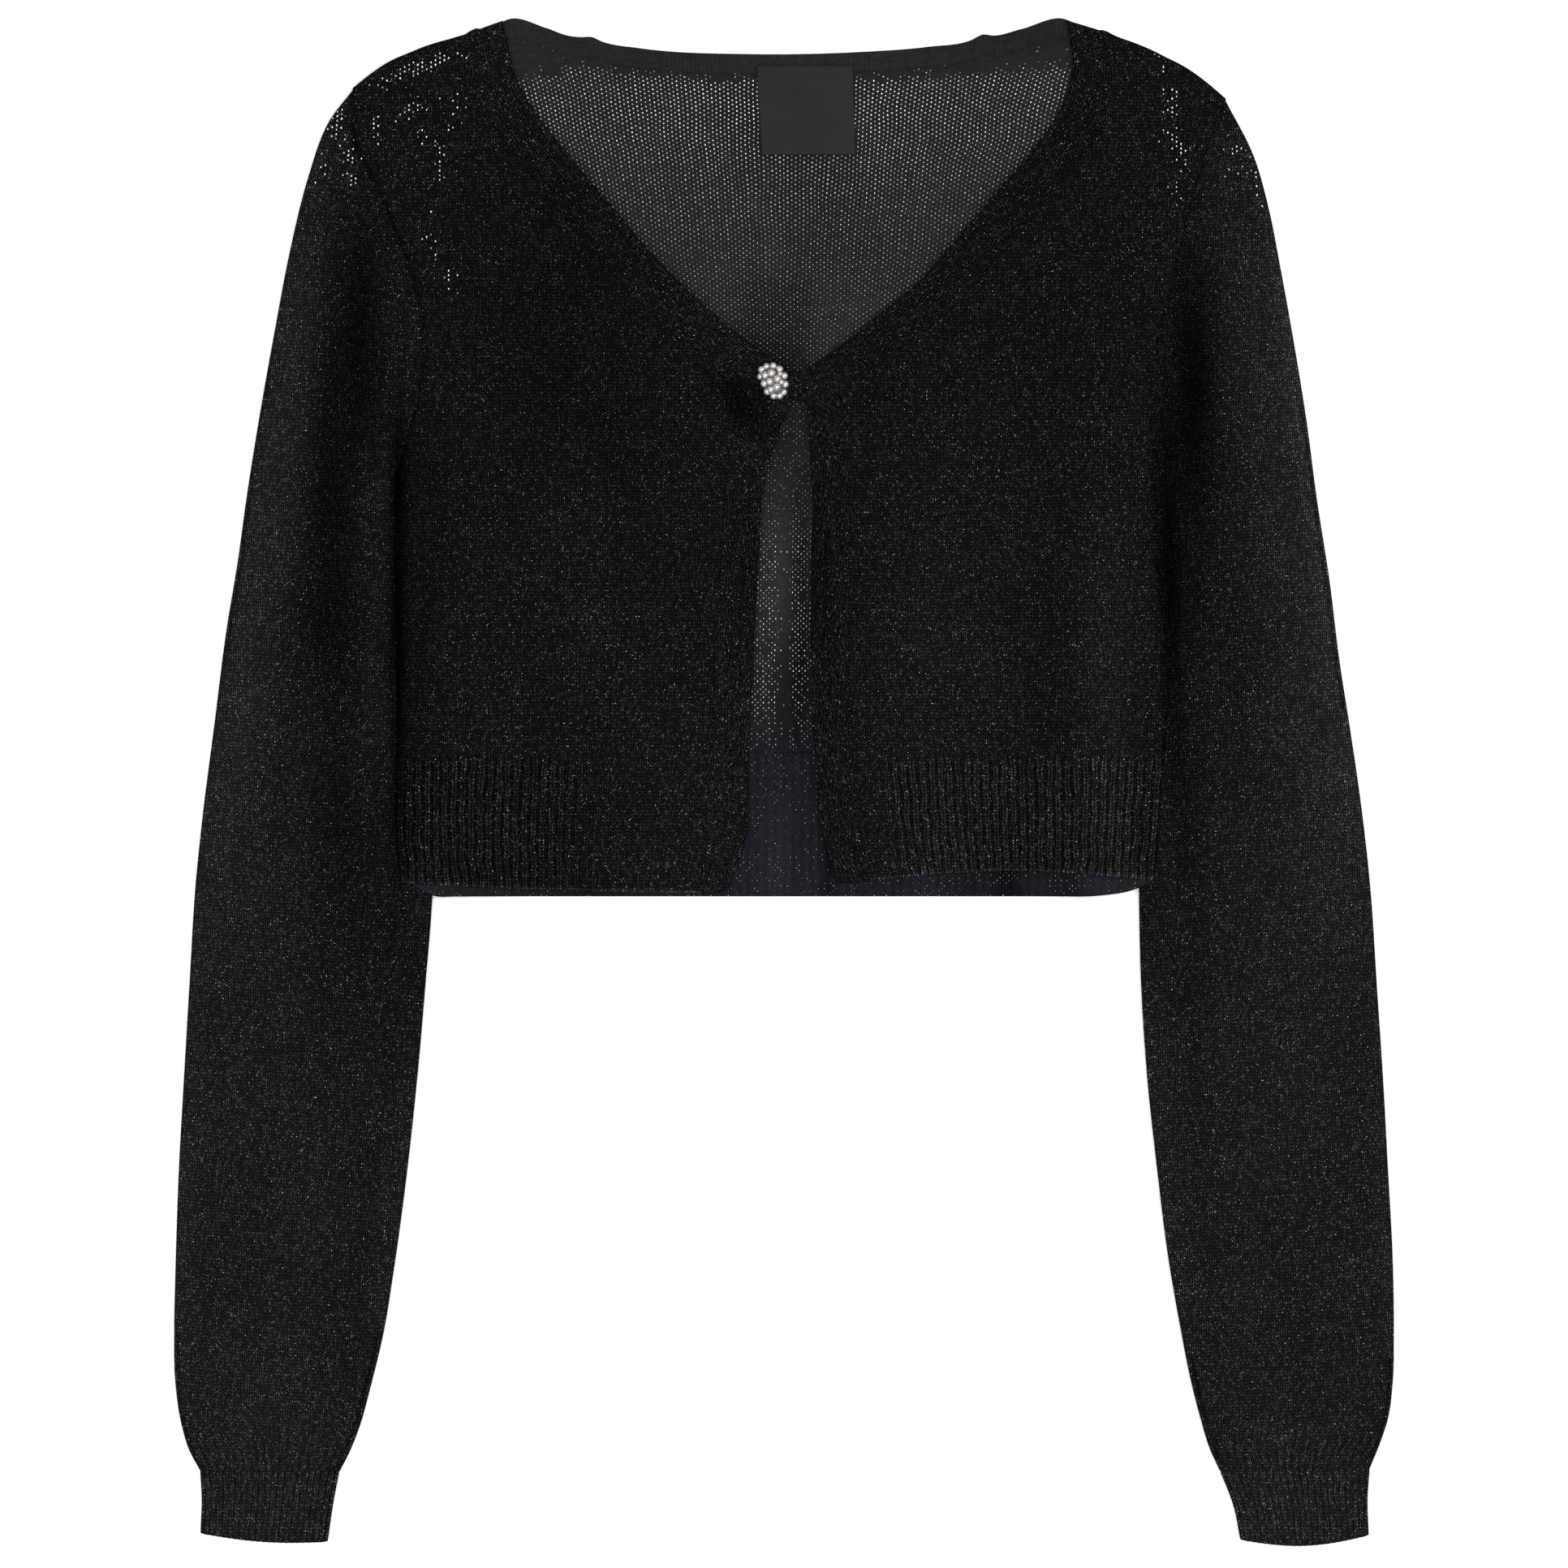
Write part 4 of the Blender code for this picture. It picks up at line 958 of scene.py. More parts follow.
def laid_shell(name, grid, under, top, uv, values, finishes):
    """A laid wall with soft edges: grid is its plan, under and top are its heights."""
    rows, columns = grid.shape[:2]
    low = np.dstack([grid, under])
    high = np.dstack([grid, top])
    row_in = np.clip(np.arange(rows), 1, rows - 2)
    column_in = np.clip(np.arange(columns), 1, columns - 2)
    rim_rows, rim_columns = rim_of(rows, columns)
    rim = ((low + high) / 2)[rim_rows, rim_columns]
    thickness = (top - under)[rim_rows, rim_columns]
    for face, sign in ((high, -1), (low, 1)):
        inner = face[row_in][:, column_in]
        face += (inner - face) * EDGE_TUCK
        face[rim_rows, rim_columns, 2] += sign * thickness * EDGE_ROUND
    count = rows * columns
    index = np.arange(count).reshape(rows, columns)
    around = index[rim_rows, rim_columns]
    after = np.roll(around, -1)
    edge = 2 * count + np.arange(len(around))
    edge_after = np.roll(edge, -1)
    faces = np.concatenate([
        grid_faces(index),
        grid_faces(index)[:, ::-1] + count,
        np.stack([around, after, edge_after, edge], axis=1),
        np.stack([edge, edge_after, after + count, around + count], axis=1),
    ])
    a, b = grid[1, 0] - grid[0, 0], grid[1, 1] - grid[0, 0]
    if a[0] * b[1] - a[1] * b[0] < 0:
        faces = faces[:, ::-1]
    skin = (rows - 1) * (columns - 1)
    which = np.zeros(len(faces), int)
    which[skin : 2 * skin] = len(finishes) - 1

    def on_all(numbers):
        flat = numbers.reshape(count, -1)
        return np.concatenate([flat, flat, flat[around]])

    points = np.concatenate([high.reshape(-1, 3), low.reshape(-1, 3), rim])
    return build_piece(name, points, faces, on_all, uv, values, finishes, which)


def tube_shell(name, outer, inner, uv, values, finishes):
    """A tube's wall: down the outer rings and back up through the inner ones, one closed skin."""
    rings = np.concatenate([outer, inner[::-1]])
    columns = rings.shape[1]
    index = np.arange(rings.shape[0] * columns).reshape(rings.shape[0], columns)
    index = np.concatenate([index, index[:1]])
    index = np.concatenate([index, index[:, :1]], axis=1)
    faces = grid_faces(index)
    outward = len(outer) - 1
    which = np.full((len(rings), columns), len(finishes) - 1)
    which[:outward] = 0
    points = rings.reshape(-1, 3)
    corners = points[faces]
    crossed = np.cross(corners[:, 1] - corners[:, 0], corners[:, 2] - corners[:, 0])
    if (corners[:, 0] * crossed).sum() < 0:
        faces = faces[:, ::-1]

    def on_both(numbers):
        return np.concatenate([numbers, numbers[::-1]]).reshape(len(points), -1)

    return build_piece(name, points, faces, on_both, uv, values, finishes, which.ravel())


def knit_plan(x, y, wale, course, turn=0.0):
    """Stitch coordinates of plan points: wales across and courses up, on a knit turned by an angle."""
    cos, sin = math.cos(turn), math.sin(turn)
    return np.stack([(x * cos + y * sin) / wale, (y * cos - x * sin) / course], axis=-1)


def inner_plan(x, y):
    """Stitch coordinates of the back's inside, whose stitches are wider and lower near the neck."""
    rows = np.array(INNER_STITCH)
    heights = np.linspace(rows[0, 0], rows[-1, 0], INNER_STEPS)
    courses = np.cumsum(2 / np.interp(heights, rows[:, 0], rows[:, 2])) * (heights[1] - heights[0])
    across = np.interp(y, rows[:, 0], rows[:, 1])
    start, reach = INNER_LEAN_REACH
    outward = clamp((np.abs(x) - start) / reach) * np.sign(x)
    lean = INNER_LEAN * outward * ramp(y, *INNER_LEAN_FROM)
    columns = (x - lean * (y - INNER_LEAN_FROM[1])) / across
    return np.stack([columns, np.interp(y, heights, courses)], axis=-1)


def near_line(points, x, y):
    """Distance of each plan point from a line of points."""
    x, y = np.asarray(x, float), np.asarray(y, float)
    nearest = np.full(x.shape, np.inf)
    for a, b in zip(points, points[1:]):
        run = b - a
        share = clamp(((x - a[0]) * run[0] + (y - a[1]) * run[1]) / (run @ run))
        away = np.hypot(x - a[0] - share * run[0], y - a[1] - share * run[1])
        nearest = np.minimum(nearest, away)
    return nearest


def groove_shade(points, x, y, half_width, depth):
    """Painted shade in a seam's groove: the loss of tone near its line."""
    away = near_line(points, x, y)
    return 1 - depth * np.exp(-((away / half_width) ** 2))


# ---- finishes ----


def feed(tree, socket, value):
    """Links a number of the tree or a node's output to a socket, or else sets the socket's own value."""
    if isinstance(value, Field):
        value = value.socket
    if isinstance(value, bpy.types.NodeSocket):
        tree.links.new(value, socket)
    else:
        socket.default_value = (*value, 1.0) if socket.type == "RGBA" else value


class Field:
    """A number in a material's node tree. Arithmetic on it adds Math nodes."""

    def __init__(self, tree, socket):
        self.tree = tree
        self.socket = socket

    def fed(self, node, *values):
        """The result of a node whose first inputs are this number and then the values."""
        for socket, value in zip(node.inputs, (self, *values)):
            feed(self.tree, socket, value)
        return Field(self.tree, node.outputs[0])

    def math(self, operation, *others):
        node = self.tree.nodes.new("ShaderNodeMath")
        node.operation = operation
        return self.fed(node, *others)

    def __add__(self, other):
        return self.math("ADD", other)

    def __sub__(self, other):
        return self.math("SUBTRACT", other)

    def __mul__(self, other):
        return self.math("MULTIPLY", other)

    def __truediv__(self, other):
        return self.math("DIVIDE", other)

    def __pow__(self, other):
        return self.math("POWER", other)

    def floor(self):
        return self.math("FLOOR")

    def fract(self):
        return self.math("FRACT")

    def below(self, other):
        return self.math("LESS_THAN", other)

    def span(self, low, high):
        """From low where this number is 0, to high where it is 1."""
        return self * (high - low) + low

    def step(self, low, high):
        """A smooth step from 0 at low to 1 at high."""
        node = self.tree.nodes.new("ShaderNodeMapRange")
        node.interpolation_type = "SMOOTHSTEP"
        return self.fed(node, low, high)

    def hump(self):
        """4x(1-x): a rounded rise and fall between 0 and 1."""
        return self * self.span(1.0, 0.0) * 4.0


class Finish:
    """A material in the making, with short ways to its usual nodes."""

    def __init__(self, name):
        self.material = bpy.data.materials.new(name)
        self.material.use_nodes = True
        self.tree = self.material.node_tree
        self.shader = self.tree.nodes["Principled BSDF"]

    def node(self, kind, **settings):
        made = self.tree.nodes.new(kind)
        for key, value in settings.items():
            setattr(made, key, value)
        return made

    def parts(self, kind, source):
        """The first two numbers of a vector or colour."""
        node = self.node(kind)
        feed(self.tree, node.inputs[0], source)
        return Field(self.tree, node.outputs[0]), Field(self.tree, node.outputs[1])

    def stitches(self):
        """The stitch coordinates: wales and courses."""
        source = self.node("ShaderNodeUVMap", uv_map=STITCH_MAP)
        return self.parts("ShaderNodeSeparateXYZ", source.outputs[0])

    def value(self, name):
        source = self.node("ShaderNodeAttribute", attribute_name=name)
        return Field(self.tree, source.outputs["Fac"])

    def vector(self, x, y):
        made = self.node("ShaderNodeCombineXYZ")
        feed(self.tree, made.inputs[0], x)
        feed(self.tree, made.inputs[1], y)
        return made.outputs[0]

    def noise(self, x, y, scale, shift=(0.0, 0.0), detail=2.0):
        """Cloudy patches, about 1 / scale wide and high. Two with different shifts aren't alike."""
        made = self.node("ShaderNodeTexNoise", noise_dimensions="2D")
        made.inputs["Scale"].default_value = 1.0
        made.inputs["Detail"].default_value = detail
        place = self.vector(x * scale[0] + shift[0], y * scale[1] + shift[1])
        feed(self.tree, made.inputs["Vector"], place)
        return Field(self.tree, made.outputs[0])

    def grain(self, scale):
        """Fine clouds all through the piece."""
        place = self.node("ShaderNodeTexCoord")
        made = self.node("ShaderNodeTexNoise")
        made.inputs["Scale"].default_value = scale
        feed(self.tree, made.inputs["Vector"], place.outputs["Object"])
        return Field(self.tree, made.outputs[0])

    def chance(self, x, y):
        """A number from 0 to 1 drawn for each whole x and y."""
        made = self.node("ShaderNodeTexWhiteNoise", noise_dimensions="2D")
        feed(self.tree, made.inputs["Vector"], self.vector(x.floor(), y.floor()))
        return Field(self.tree, made.outputs["Value"])

    def tint(self, colour, brightness):
        """A colour times a brightness."""
        made = self.node("ShaderNodeVectorMath", operation="SCALE")
        made.inputs[0].default_value = colour
        feed(self.tree, made.inputs["Scale"], brightness)
        return made.outputs[0]

    def mix(self, share, a, b):
        made = self.node("ShaderNodeMix", data_type="RGBA")
        feed(self.tree, made.inputs["Factor"], share)
        feed(self.tree, made.inputs[6], a)
        feed(self.tree, made.inputs[7], b)
        return made.outputs[2]

    def bump(self, height, strength, distance):
        made = self.node("ShaderNodeBump")
        made.inputs["Strength"].default_value = strength
        made.inputs["Distance"].default_value = distance
        feed(self.tree, made.inputs["Height"], height)
        feed(self.tree, self.shader.inputs["Normal"], made.outputs[0])

    def set(self, **values):
        """Sets the shader's own sockets; underscores stand for the spaces in their names."""
        for key, value in values.items():
            feed(self.tree, self.shader.inputs[key.replace("_", " ")], value)


def gaping_holes(finish, across, row, present, gape, size):
    """Upright gaps between the stitches, staggered from row to row. present is the share of them that
    is open, and gape how wide they are. size gives an across and the distance between two rows. The
    result is how much of the lit pale ground is painted into each gap, as painted light."""
    column = across + row.floor() * 0.5
    draw = finish.chance(column, row)
    side = (column.fract() - 0.5) * size[0]
    height = (row.fract() - 0.5) * (size[1] * HOLE_SQUEEZE)
    reach = (side * side + height * height) ** 0.5
    radius = draw.span(*HOLE_SIZES) * gape.span(*HOLE_RADIUS)
    hole = (reach - radius).step(*HOLE_RIM)
    drawn = finish.chance(column + OTHER_DRAW[0], row + OTHER_DRAW[1]).below(present)
    bright = draw * HOLE_LIGHT[0] + gape * HOLE_LIGHT[1]
    return hole * drawn * bright.math("MINIMUM", HOLE_BRIGHTEST)


def sparkle(finish, x, y, share):
    """Fine metallic glints: one small spot in a few of many cells. x and y are in millimetres."""
    cells = finish.node("ShaderNodeTexVoronoi", voronoi_dimensions="2D")
    cells.inputs["Scale"].default_value = 1 / GLINT_CELL
    feed(finish.tree, cells.inputs["Vector"], finish.vector(x, y))
    draw, strength = finish.parts("ShaderNodeSeparateColor", cells.outputs["Color"])
    spot = Field(finish.tree, cells.outputs["Distance"]).step(*GLINT_RIM)
    return spot * draw.below(share) * (strength ** 4.0).span(*GLINT_STRENGTH)


def knit_finish(name, colour, settings, wale=WALE, course=COURSE, wander=1.0):
    """The outside of the knit: columns of V stitches of uneven brightness, with fine metallic glints. The
    legs are painted lighter than the gaps between them, as painted light and shade of their relief, and the
    lit pale ground is painted into the gaps where they gape. Where the rib value is 1, every other column
    lies in a hollow with painted shade in it."""
    finish = Finish(name)
    u, v = finish.stitches()
    x, y = u * wale, v * course
    drift = finish.noise(x, y, scale=(0.11, 0.11))
    sway = finish.noise(x, y, scale=(0.3, 0.3), shift=(40.0, 0.0))
    patches = finish.noise(x, y, scale=(0.025, 0.03), detail=1.0)
    u = u + (drift - 0.5) * (DRIFT * wander)
    v = v + (sway - 0.5) * wander
    leg = u.fract().span(-1.0, 1.0).math("ABSOLUTE")
    phase = v - leg * V_LEAN
    yarn = leg.hump() ** LEG_ROUNDING[0] * phase.fract().hump() ** LEG_ROUNDING[1]
    draw = finish.chance(u * 2.0, phase)
    # the legs are painted lighter than the gaps between them, painted light and shade of the yarn's relief;
    # each leg's brightness also differs at random
    painted_yarn_light = yarn * (draw ** 3.0).span(*STITCH_LIGHT)
    tone = finish.value("tone")
    # every other column of a rib lies in a hollow with painted shade
    hollow = (u.floor() * 0.5).fract().span(1.0, -1.0)
    furrow_shade = (hollow * finish.value("rib")).span(1.0, FURROW_SHADE)
    brightness = tone * furrow_shade * (painted_yarn_light + V_GAP) * patches.span(0.9, 1.1)
    glint = sparkle(finish, x, y, patches.span(0.8, 1.2) * settings.glint_share)
    # glints are stronger on the legs than in the gaps, and dimmed where painted shade darkens the cloth
    glint = glint * yarn.span(0.4, 1.6) * (tone * tone).math("MINIMUM", 1.0)
    cloth = finish.mix(glint, finish.tint(colour, brightness), GLINT_COLOUR)
    sheer = finish.value("sheer")
    wide, high = OUTER_GAP_CELL
    painted_holes = gaping_holes(finish, x / wide, y / high, sheer, sheer.span(0.7, 1.2), OUTER_GAP_CELL)
    finish.bump(yarn, 0.5, settings.relief)
    finish.set(
        Base_Color=finish.mix(painted_holes, cloth, settings.painted_ground_colour),
        Roughness=0.7,
        Metallic=glint,
        Specular_IOR_Level=0.0,
    )


def purl_finish(name, colour, settings):
    """The inside of the knit: soft rows, painted darker in the dips between them as painted shade, smoky
    patches, and pinholes in which the lit pale ground is painted. It turns to the colour of the hem's
    inside where the value blue is 1."""
    finish = Finish(name)
    across, row = finish.stitches()
    x, y = across * INNER_CELL[0], row * INNER_CELL[1]
    drift = finish.noise(x, y, scale=(0.05, 0.05))
    sway = finish.noise(x, y, scale=(0.07, 0.07), shift=(60.0, 0.0))
    smoke = finish.noise(x, y, scale=(0.021, 0.018), detail=4.0)
    loose = finish.noise(x, y, scale=(0.06, 0.05), shift=(11.0, 3.0), detail=3.0)
    across = across + (drift - 0.5) * INNER_DRIFT
    row = row + (sway - 0.5) * INNER_SWAY
    wave = (across * (math.tau * 2)).math("SINE") * INNER_WAVE
    loop = (row + wave).fract().hump() ** INNER_ROUNDING
    draw = finish.chance(across * 2.0, row)
    # the rows are painted lighter on their crests than in their dips, painted shade of their relief; the
    # rest of the light differs at random
    light = loop.span(0.74, 1.04) * draw.span(0.83, 1.17) * smoke.span(0.75, 1.25)
    brightness = finish.value("tone") * light
    sheer = finish.value("sheer")
    shown = sheer * ((loose - 0.5) * sheer.span(*PATCHY) + 1.05)
    gape = finish.value("gape")
    painted_holes = gaping_holes(finish, across, row, shown, gape, INNER_CELL)
    second = (row.floor() * 0.5).fract() * 2.0
    painted_holes = painted_holes * (second * gape.hump()).span(1.0, SECOND_ROW)
    plain = finish.mix(
        finish.value("blue"), finish.tint(colour, brightness), finish.tint(settings.hem_colour, brightness),
    )
    finish.bump(loop, 0.5, settings.relief * 0.8)
    finish.set(
        Base_Color=finish.mix(painted_holes, plain, settings.painted_ground_colour),
        Roughness=0.8,
        Specular_IOR_Level=0.0,
    )


def satin_finish(name, settings):
    """The label's satin: fine slanting floats, with a soft sheen."""
    finish = Finish(name)
    x, y = finish.stitches()
    weave = ((x + y * 0.5) / settings.weave_pitch).fract().hump()
    cross = (y / settings.weave_pitch).fract().hump()
    cloud = finish.noise(x, y, scale=(0.06, 0.06), detail=3.0)
    brightness = weave.span(0.86, 1.02) * cross.span(0.92, 1.0) * cloud.span(0.8, 1.2)
    finish.bump(weave, 0.3, SATIN_RELIEF)
    finish.set(
        Base_Color=finish.tint(tuple(settings.colour), brightness),
        Roughness=cloud.span(0.5, 0.6),
        Specular_IOR_Level=0.04,
    )


def pearl_finish(name, colour):
    """The beads: a pale lustre with faint clouds in it."""
    finish = Finish(name)
    cloud = finish.grain(PEARL_CLOUDS)
    finish.set(
        Base_Color=finish.tint(colour, cloud.span(0.85, 1.15)),
        Roughness=cloud.span(0.16, 0.26),
        Metallic=0.75,
        Specular_IOR_Level=0.5,
        Coat_Weight=0.4,
        Coat_Roughness=0.08,
    )


def metal_finish(name, colour):
    """The setting between the beads: uneven metal with a fine grain."""
    finish = Finish(name)
    grain = finish.grain(METAL_GRAIN)
    finish.bump(grain, 0.4, METAL_RELIEF)
    finish.set(
        Base_Color=finish.tint(colour, grain.span(0.6, 1.4)),
        Roughness=0.35,
        Metallic=0.8,
        Specular_IOR_Level=0.1,
    )


# ---- pieces ----


def painted_shading_gain(rows, x, y):
    """The painted light and shade at each point, as a gain in tone, from a table of soft lines."""
    return np.clip(1.0 + folds(rows, x, y), *TONE_RANGE)


def panel_cut(grid):
    """Width and length of the sheet that a panel is cut from, in metres."""
    return tuple(float(side) * MM for side in np.ptp(grid.reshape(-1, 2), axis=0))


def strip_cut(grid):
    """The same for a strip that runs down its rows."""
    middle = grid.mean(axis=1)
    length = np.linalg.norm(np.diff(middle, axis=0), axis=1).sum()
    width = np.linalg.norm(grid[:, -1] - grid[:, 0], axis=1).max()
    return float(width) * MM, float(length) * MM


def declare(piece, node, cut, area):
    """Attaches a cloth piece to the root and hides the solid it is laid over. cut and area are not used."""
    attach(piece, "root")
    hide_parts(node)


def lay(name, node, grid, heights, stitches, values, finishes, cut=None):
    """Makes a laid piece from its plan, the heights of its underside and top, its stitch coordinates
    and values, and the finishes of its top and its underside."""
    piece = laid_shell(name, grid, *heights, stitches, values, finishes)
    declare(piece, node, cut or panel_cut(grid), plan_area(grid))


def lay_tube(name, node, rows, rings, stitches, values, finishes):
    """Makes a flattened tube from its outer and inner rings."""
    piece = tube_shell(name, *rings, stitches, values, finishes)
    edges = np.stack([plans(rows, "out_"), plans(rows, "in_")], axis=1)
    declare(piece, node, strip_cut(edges), plan_area(edges))


def spread(grid, columns):
    """A two-column grid with straight columns added between its edges."""
    share = np.linspace(0, 1, columns + 1)[None, :, None]
    return between(grid[:, :1], grid[:, 1:], share)


def outer_values(side, shade, x, y):
    """The painted light and shade and the gaps of an outer piece beside an armhole seam, with
    painted shade in the seam's groove.
    """
    shade_depth = between(*SEAM_SHADE[side], ramp(y, *SEAM_SHADE_FROM))
    seam = groove_shade(BODY_EDGE[side][: ARMHOLE_ROWS + 1], x, y, SEAM_HALF_WIDTH, shade_depth)
    return {
        "tone": painted_shading_gain(shade, x, y) * seam,
        "sheer": clamp(folds(OUTER_GAPS, x, y)),
        "gape": SLEEVE_GAPE,
        "rib": ramp(-y, *SLEEVE_RIB) * CUFF_FURROW_SHADE,
    }


def inner_gaps(x, y):
    """The share of the back's stitches that gape on its inside, and how far: none beside the
    neckband, and fewer lower down."""
    rows = np.array(INNER_GAPS)
    below = ramp(np.interp(x, *np.array(NECK_CLOSED).T) - y, *CLOSED_EDGE)
    line = (1 - ramp(np.abs(x - MIDDLE_X), *MIDDLE_WIDTH)) * (1 - ramp(y, *MIDDLE_TOP))
    share = between(STRAY_GAPS * ramp(y, *STRAY_FROM), 1.0, below) * (1 - MIDDLE_CLOSED * line)
    wide = between(*WIDE_GAPE, 1 - ramp(np.abs(x), *WIDE_REACH)) * between(CLOSED_GAPE, 1.0, below)
    return share * np.interp(y, rows[:, 0], rows[:, 1]), wide * np.interp(y, rows[:, 0], rows[:, 2])


def add_back():
    grid = refine(back_grid(), SKIN_SPACING, SKIN_SPACING)
    x, y = grid[..., 0], grid[..., 1]
    under = back_under(x, y)
    share, gape = inner_gaps(x, y)
    values = {"tone": painted_shading_gain(BACK_SHADE, x, y), "sheer": share, "gape": gape, "blue": 1 - ramp(y, *HEM_BLUE)}
    heights = (under, under + WALL)
    lay("knit_back", "back_panel", grid, heights, inner_plan(x, y), values, [INSIDE])


def add_back_neckband():
    grid = refine(neckband_grid(), *NECK_SPACING)
    x, y = grid[..., 0], grid[..., 1]
    under = back_under(x, y)
    rise = rib_rise(x / NECK_RIB)
    thin = ramp(np.linspace(0, 1, len(grid))[:, None], *NECK_TURN)
    heights = (under, under + between(NECKBAND_WALL, WALL, thin) + NECK_RIB_RISE * (rise - 1))
    values = {"tone": between(*NECK_TONE, rise)}
    lay(
        "knit_back_neckband", "back_neckband", grid, heights, inner_plan(x, y), values, [INSIDE],
    )


def add_back_hem():
    grid = refine(back_hem_grid(), SKIN_SPACING, HEM_RIB_PITCH / RIB_COLUMNS)
    x, y = grid[..., 0], grid[..., 1]
    under = back_under(x, y)
    rise = rib_rise(x / HEM_RIB_PITCH)
    heights = (under, under + WALL - HEM_FURROW * (1 - rise))
    tone = painted_shading_gain(BACK_SHADE, x, y) * between(*BACK_HEM_TONE, rise)
    values = {"tone": tone, "sheer": BACK_HEM_GAPS, "gape": BACK_HEM_GAPE, "blue": 1.0}
    lay(
        "knit_back_hem", "back_hem_rib", grid, heights, inner_plan(x, y), values, [INSIDE],
    )


def add_front(side):
    grid = refine(front_grid(side), SKIN_SPACING, SKIN_SPACING)
    x, y = grid[..., 0], grid[..., 1]
    under = front_under(side, x, y)
    lay(
        f"knit_front_{side}", f"front_{side}_panel", grid, (under, under + WALL),
        knit_plan(x, y, WALE, COURSE), outer_values(side, BODY_SHADE, x, y), [OUTSIDE, INSIDE],
    )


def add_band(side):
    rows = refine_rows(band_grid(side), BAND_SPACING)
    grid = spread(rows, BAND_RIDGES * RIB_COLUMNS)
    x, y = grid[..., 0], grid[..., 1]
    share = np.linspace(0, 1, grid.shape[1])[None, :]
    width = np.linalg.norm(grid[:, -1] - grid[:, 0], axis=1)[:, None]
    steps = np.linalg.norm(np.diff(grid, axis=0), axis=2)
    length = np.concatenate([0 * steps[:1], np.cumsum(steps, axis=0)])
    under = front_under(side, x, y)
    ridges = between(BAND_HOLLOW, 1.0, rib_rise(share * BAND_RIDGES))
    lay(
        f"knit_band_{side}", f"front_{side}_band", grid, (under, under + WALL + BAND_RIDGE_RISE * ridges),
        np.stack([share * width / BAND_WALE, length / BAND_COURSE], axis=-1),
        {"tone": BAND_TONE[side] * painted_shading_gain(BODY_SHADE, x, y)}, [BAND_OUTSIDE],
        cut=strip_cut(rows),
    )


def add_hem(side):
    edges = hem_grid(side)
    width = np.linalg.norm(edges[0, 1] - edges[0, 0])
    ribs = round(width / HEM_RIB_PITCH)
    grid = spread(edges, ribs * RIB_COLUMNS)
    grid[-1] = arch(grid[-1], HEM_BOW[side])
    grid = refine_rows(grid, COURSE)
    x, y = grid[..., 0], grid[..., 1]
    share = np.linspace(0, 1, grid.shape[1])[None, :]
    count = share * ribs + 0 * x
    down = np.arange(len(grid))[:, None]
    fade = ramp((1 - share) * width, *HEM_RIB_REACH[side]) * ramp(down, *HEM_RIB_ROWS)
    under = front_under(side, x, y)
    top = under + WALL + HEM_RIB_RISE * fade * rib_rise(count)
    # the hem's rolled edge gets a painted highlight
    highlight_from, highlight_full = HEM_HIGHLIGHT_ROWS
    edge = between(1.0, HEM_EDGE_HIGHLIGHT, ramp(down, len(grid) - highlight_from, len(grid) - highlight_full))
    tone = edge * (1 + HEM_TONE[side] * fade) * painted_shading_gain(BODY_SHADE, x, y)
    lay(
        f"knit_hem_{side}", f"front_{side}_hem_rib", grid, (under, top),
        np.stack([rib_columns(count, fade) + 0.5, y / COURSE], axis=-1), {"tone": tone, "rib": fade},
        [OUTSIDE],
    )


def rib_columns(count, share):
    """Two columns of stitches to a rib, the one in the hollow narrower by the share."""
    places = [0.0, RIB_HOLLOW / 2, 1 - RIB_HOLLOW / 2, 1.0]
    narrow = np.interp(count % 1, places, [0.0, 0.5, 1.5, 2.0])
    return count * 2 + share * (narrow - count % 1 * 2)


def rings_of(rows, ring, *more):
    """The outer and the inner rings of a tube."""
    return [np.array([ring(row, inset, *more) for row in rows]) for inset in (0.0, WALL)]


def add_sleeve(side):
    rows = fine_rows(SLEEVE[side], SLEEVE_SPACING)
    rings = rings_of(rows, sleeve_ring, side)
    x, y = rings[0][..., 0], rings[0][..., 1]
    uv = knit_plan(x, y, WALE, COURSE, SLEEVE_TURN[side])
    first_under = 2 * len(FOLD_ROUNDING) + SLEEVE_TOPS + 1
    uv[:, first_under:, 0] = 2 * uv[:, :1, 0] - uv[:, first_under:, 0]
    near_cuff = ramp(-y, *SLEEVE_RIB)
    uv = gathered(uv, rows, x, y, near_cuff[..., None], side)
    values = outer_values(side, SLEEVE_SHADE, x, y)
    values["tone"] = values["tone"] * between(1.0, CUFF_GAIN[side], near_cuff)
    lay_tube(f"knit_sleeve_{side}", f"sleeve_{side}", rows, rings, uv, values, [OUTSIDE, INSIDE])


def gathered(uv, rows, x, y, share, side):
    """A sleeve's stitches, drawn together into the columns of the cuff's ribs."""
    first = plans(rows, "out_")[:, :1]
    last = plans(rows, "in_")[:, :1]
    ribs = cuff_plan((x - first) / (last - first) * CUFF_RIB_COUNT, y, side)
    shift = np.median((uv - ribs)[-1], axis=0)
    return uv + share * (ribs + 2 * np.round(shift / 2) - uv)


def cuff_plan(count, y, side, narrow=0.0):
    """Places in the cuff's knit: two columns to a rib, one of them in the hollow."""
    outward = 1 if side == "right" else -1
    return np.stack([rib_columns(count, narrow) * outward + 0.5, y / COURSE], axis=-1)


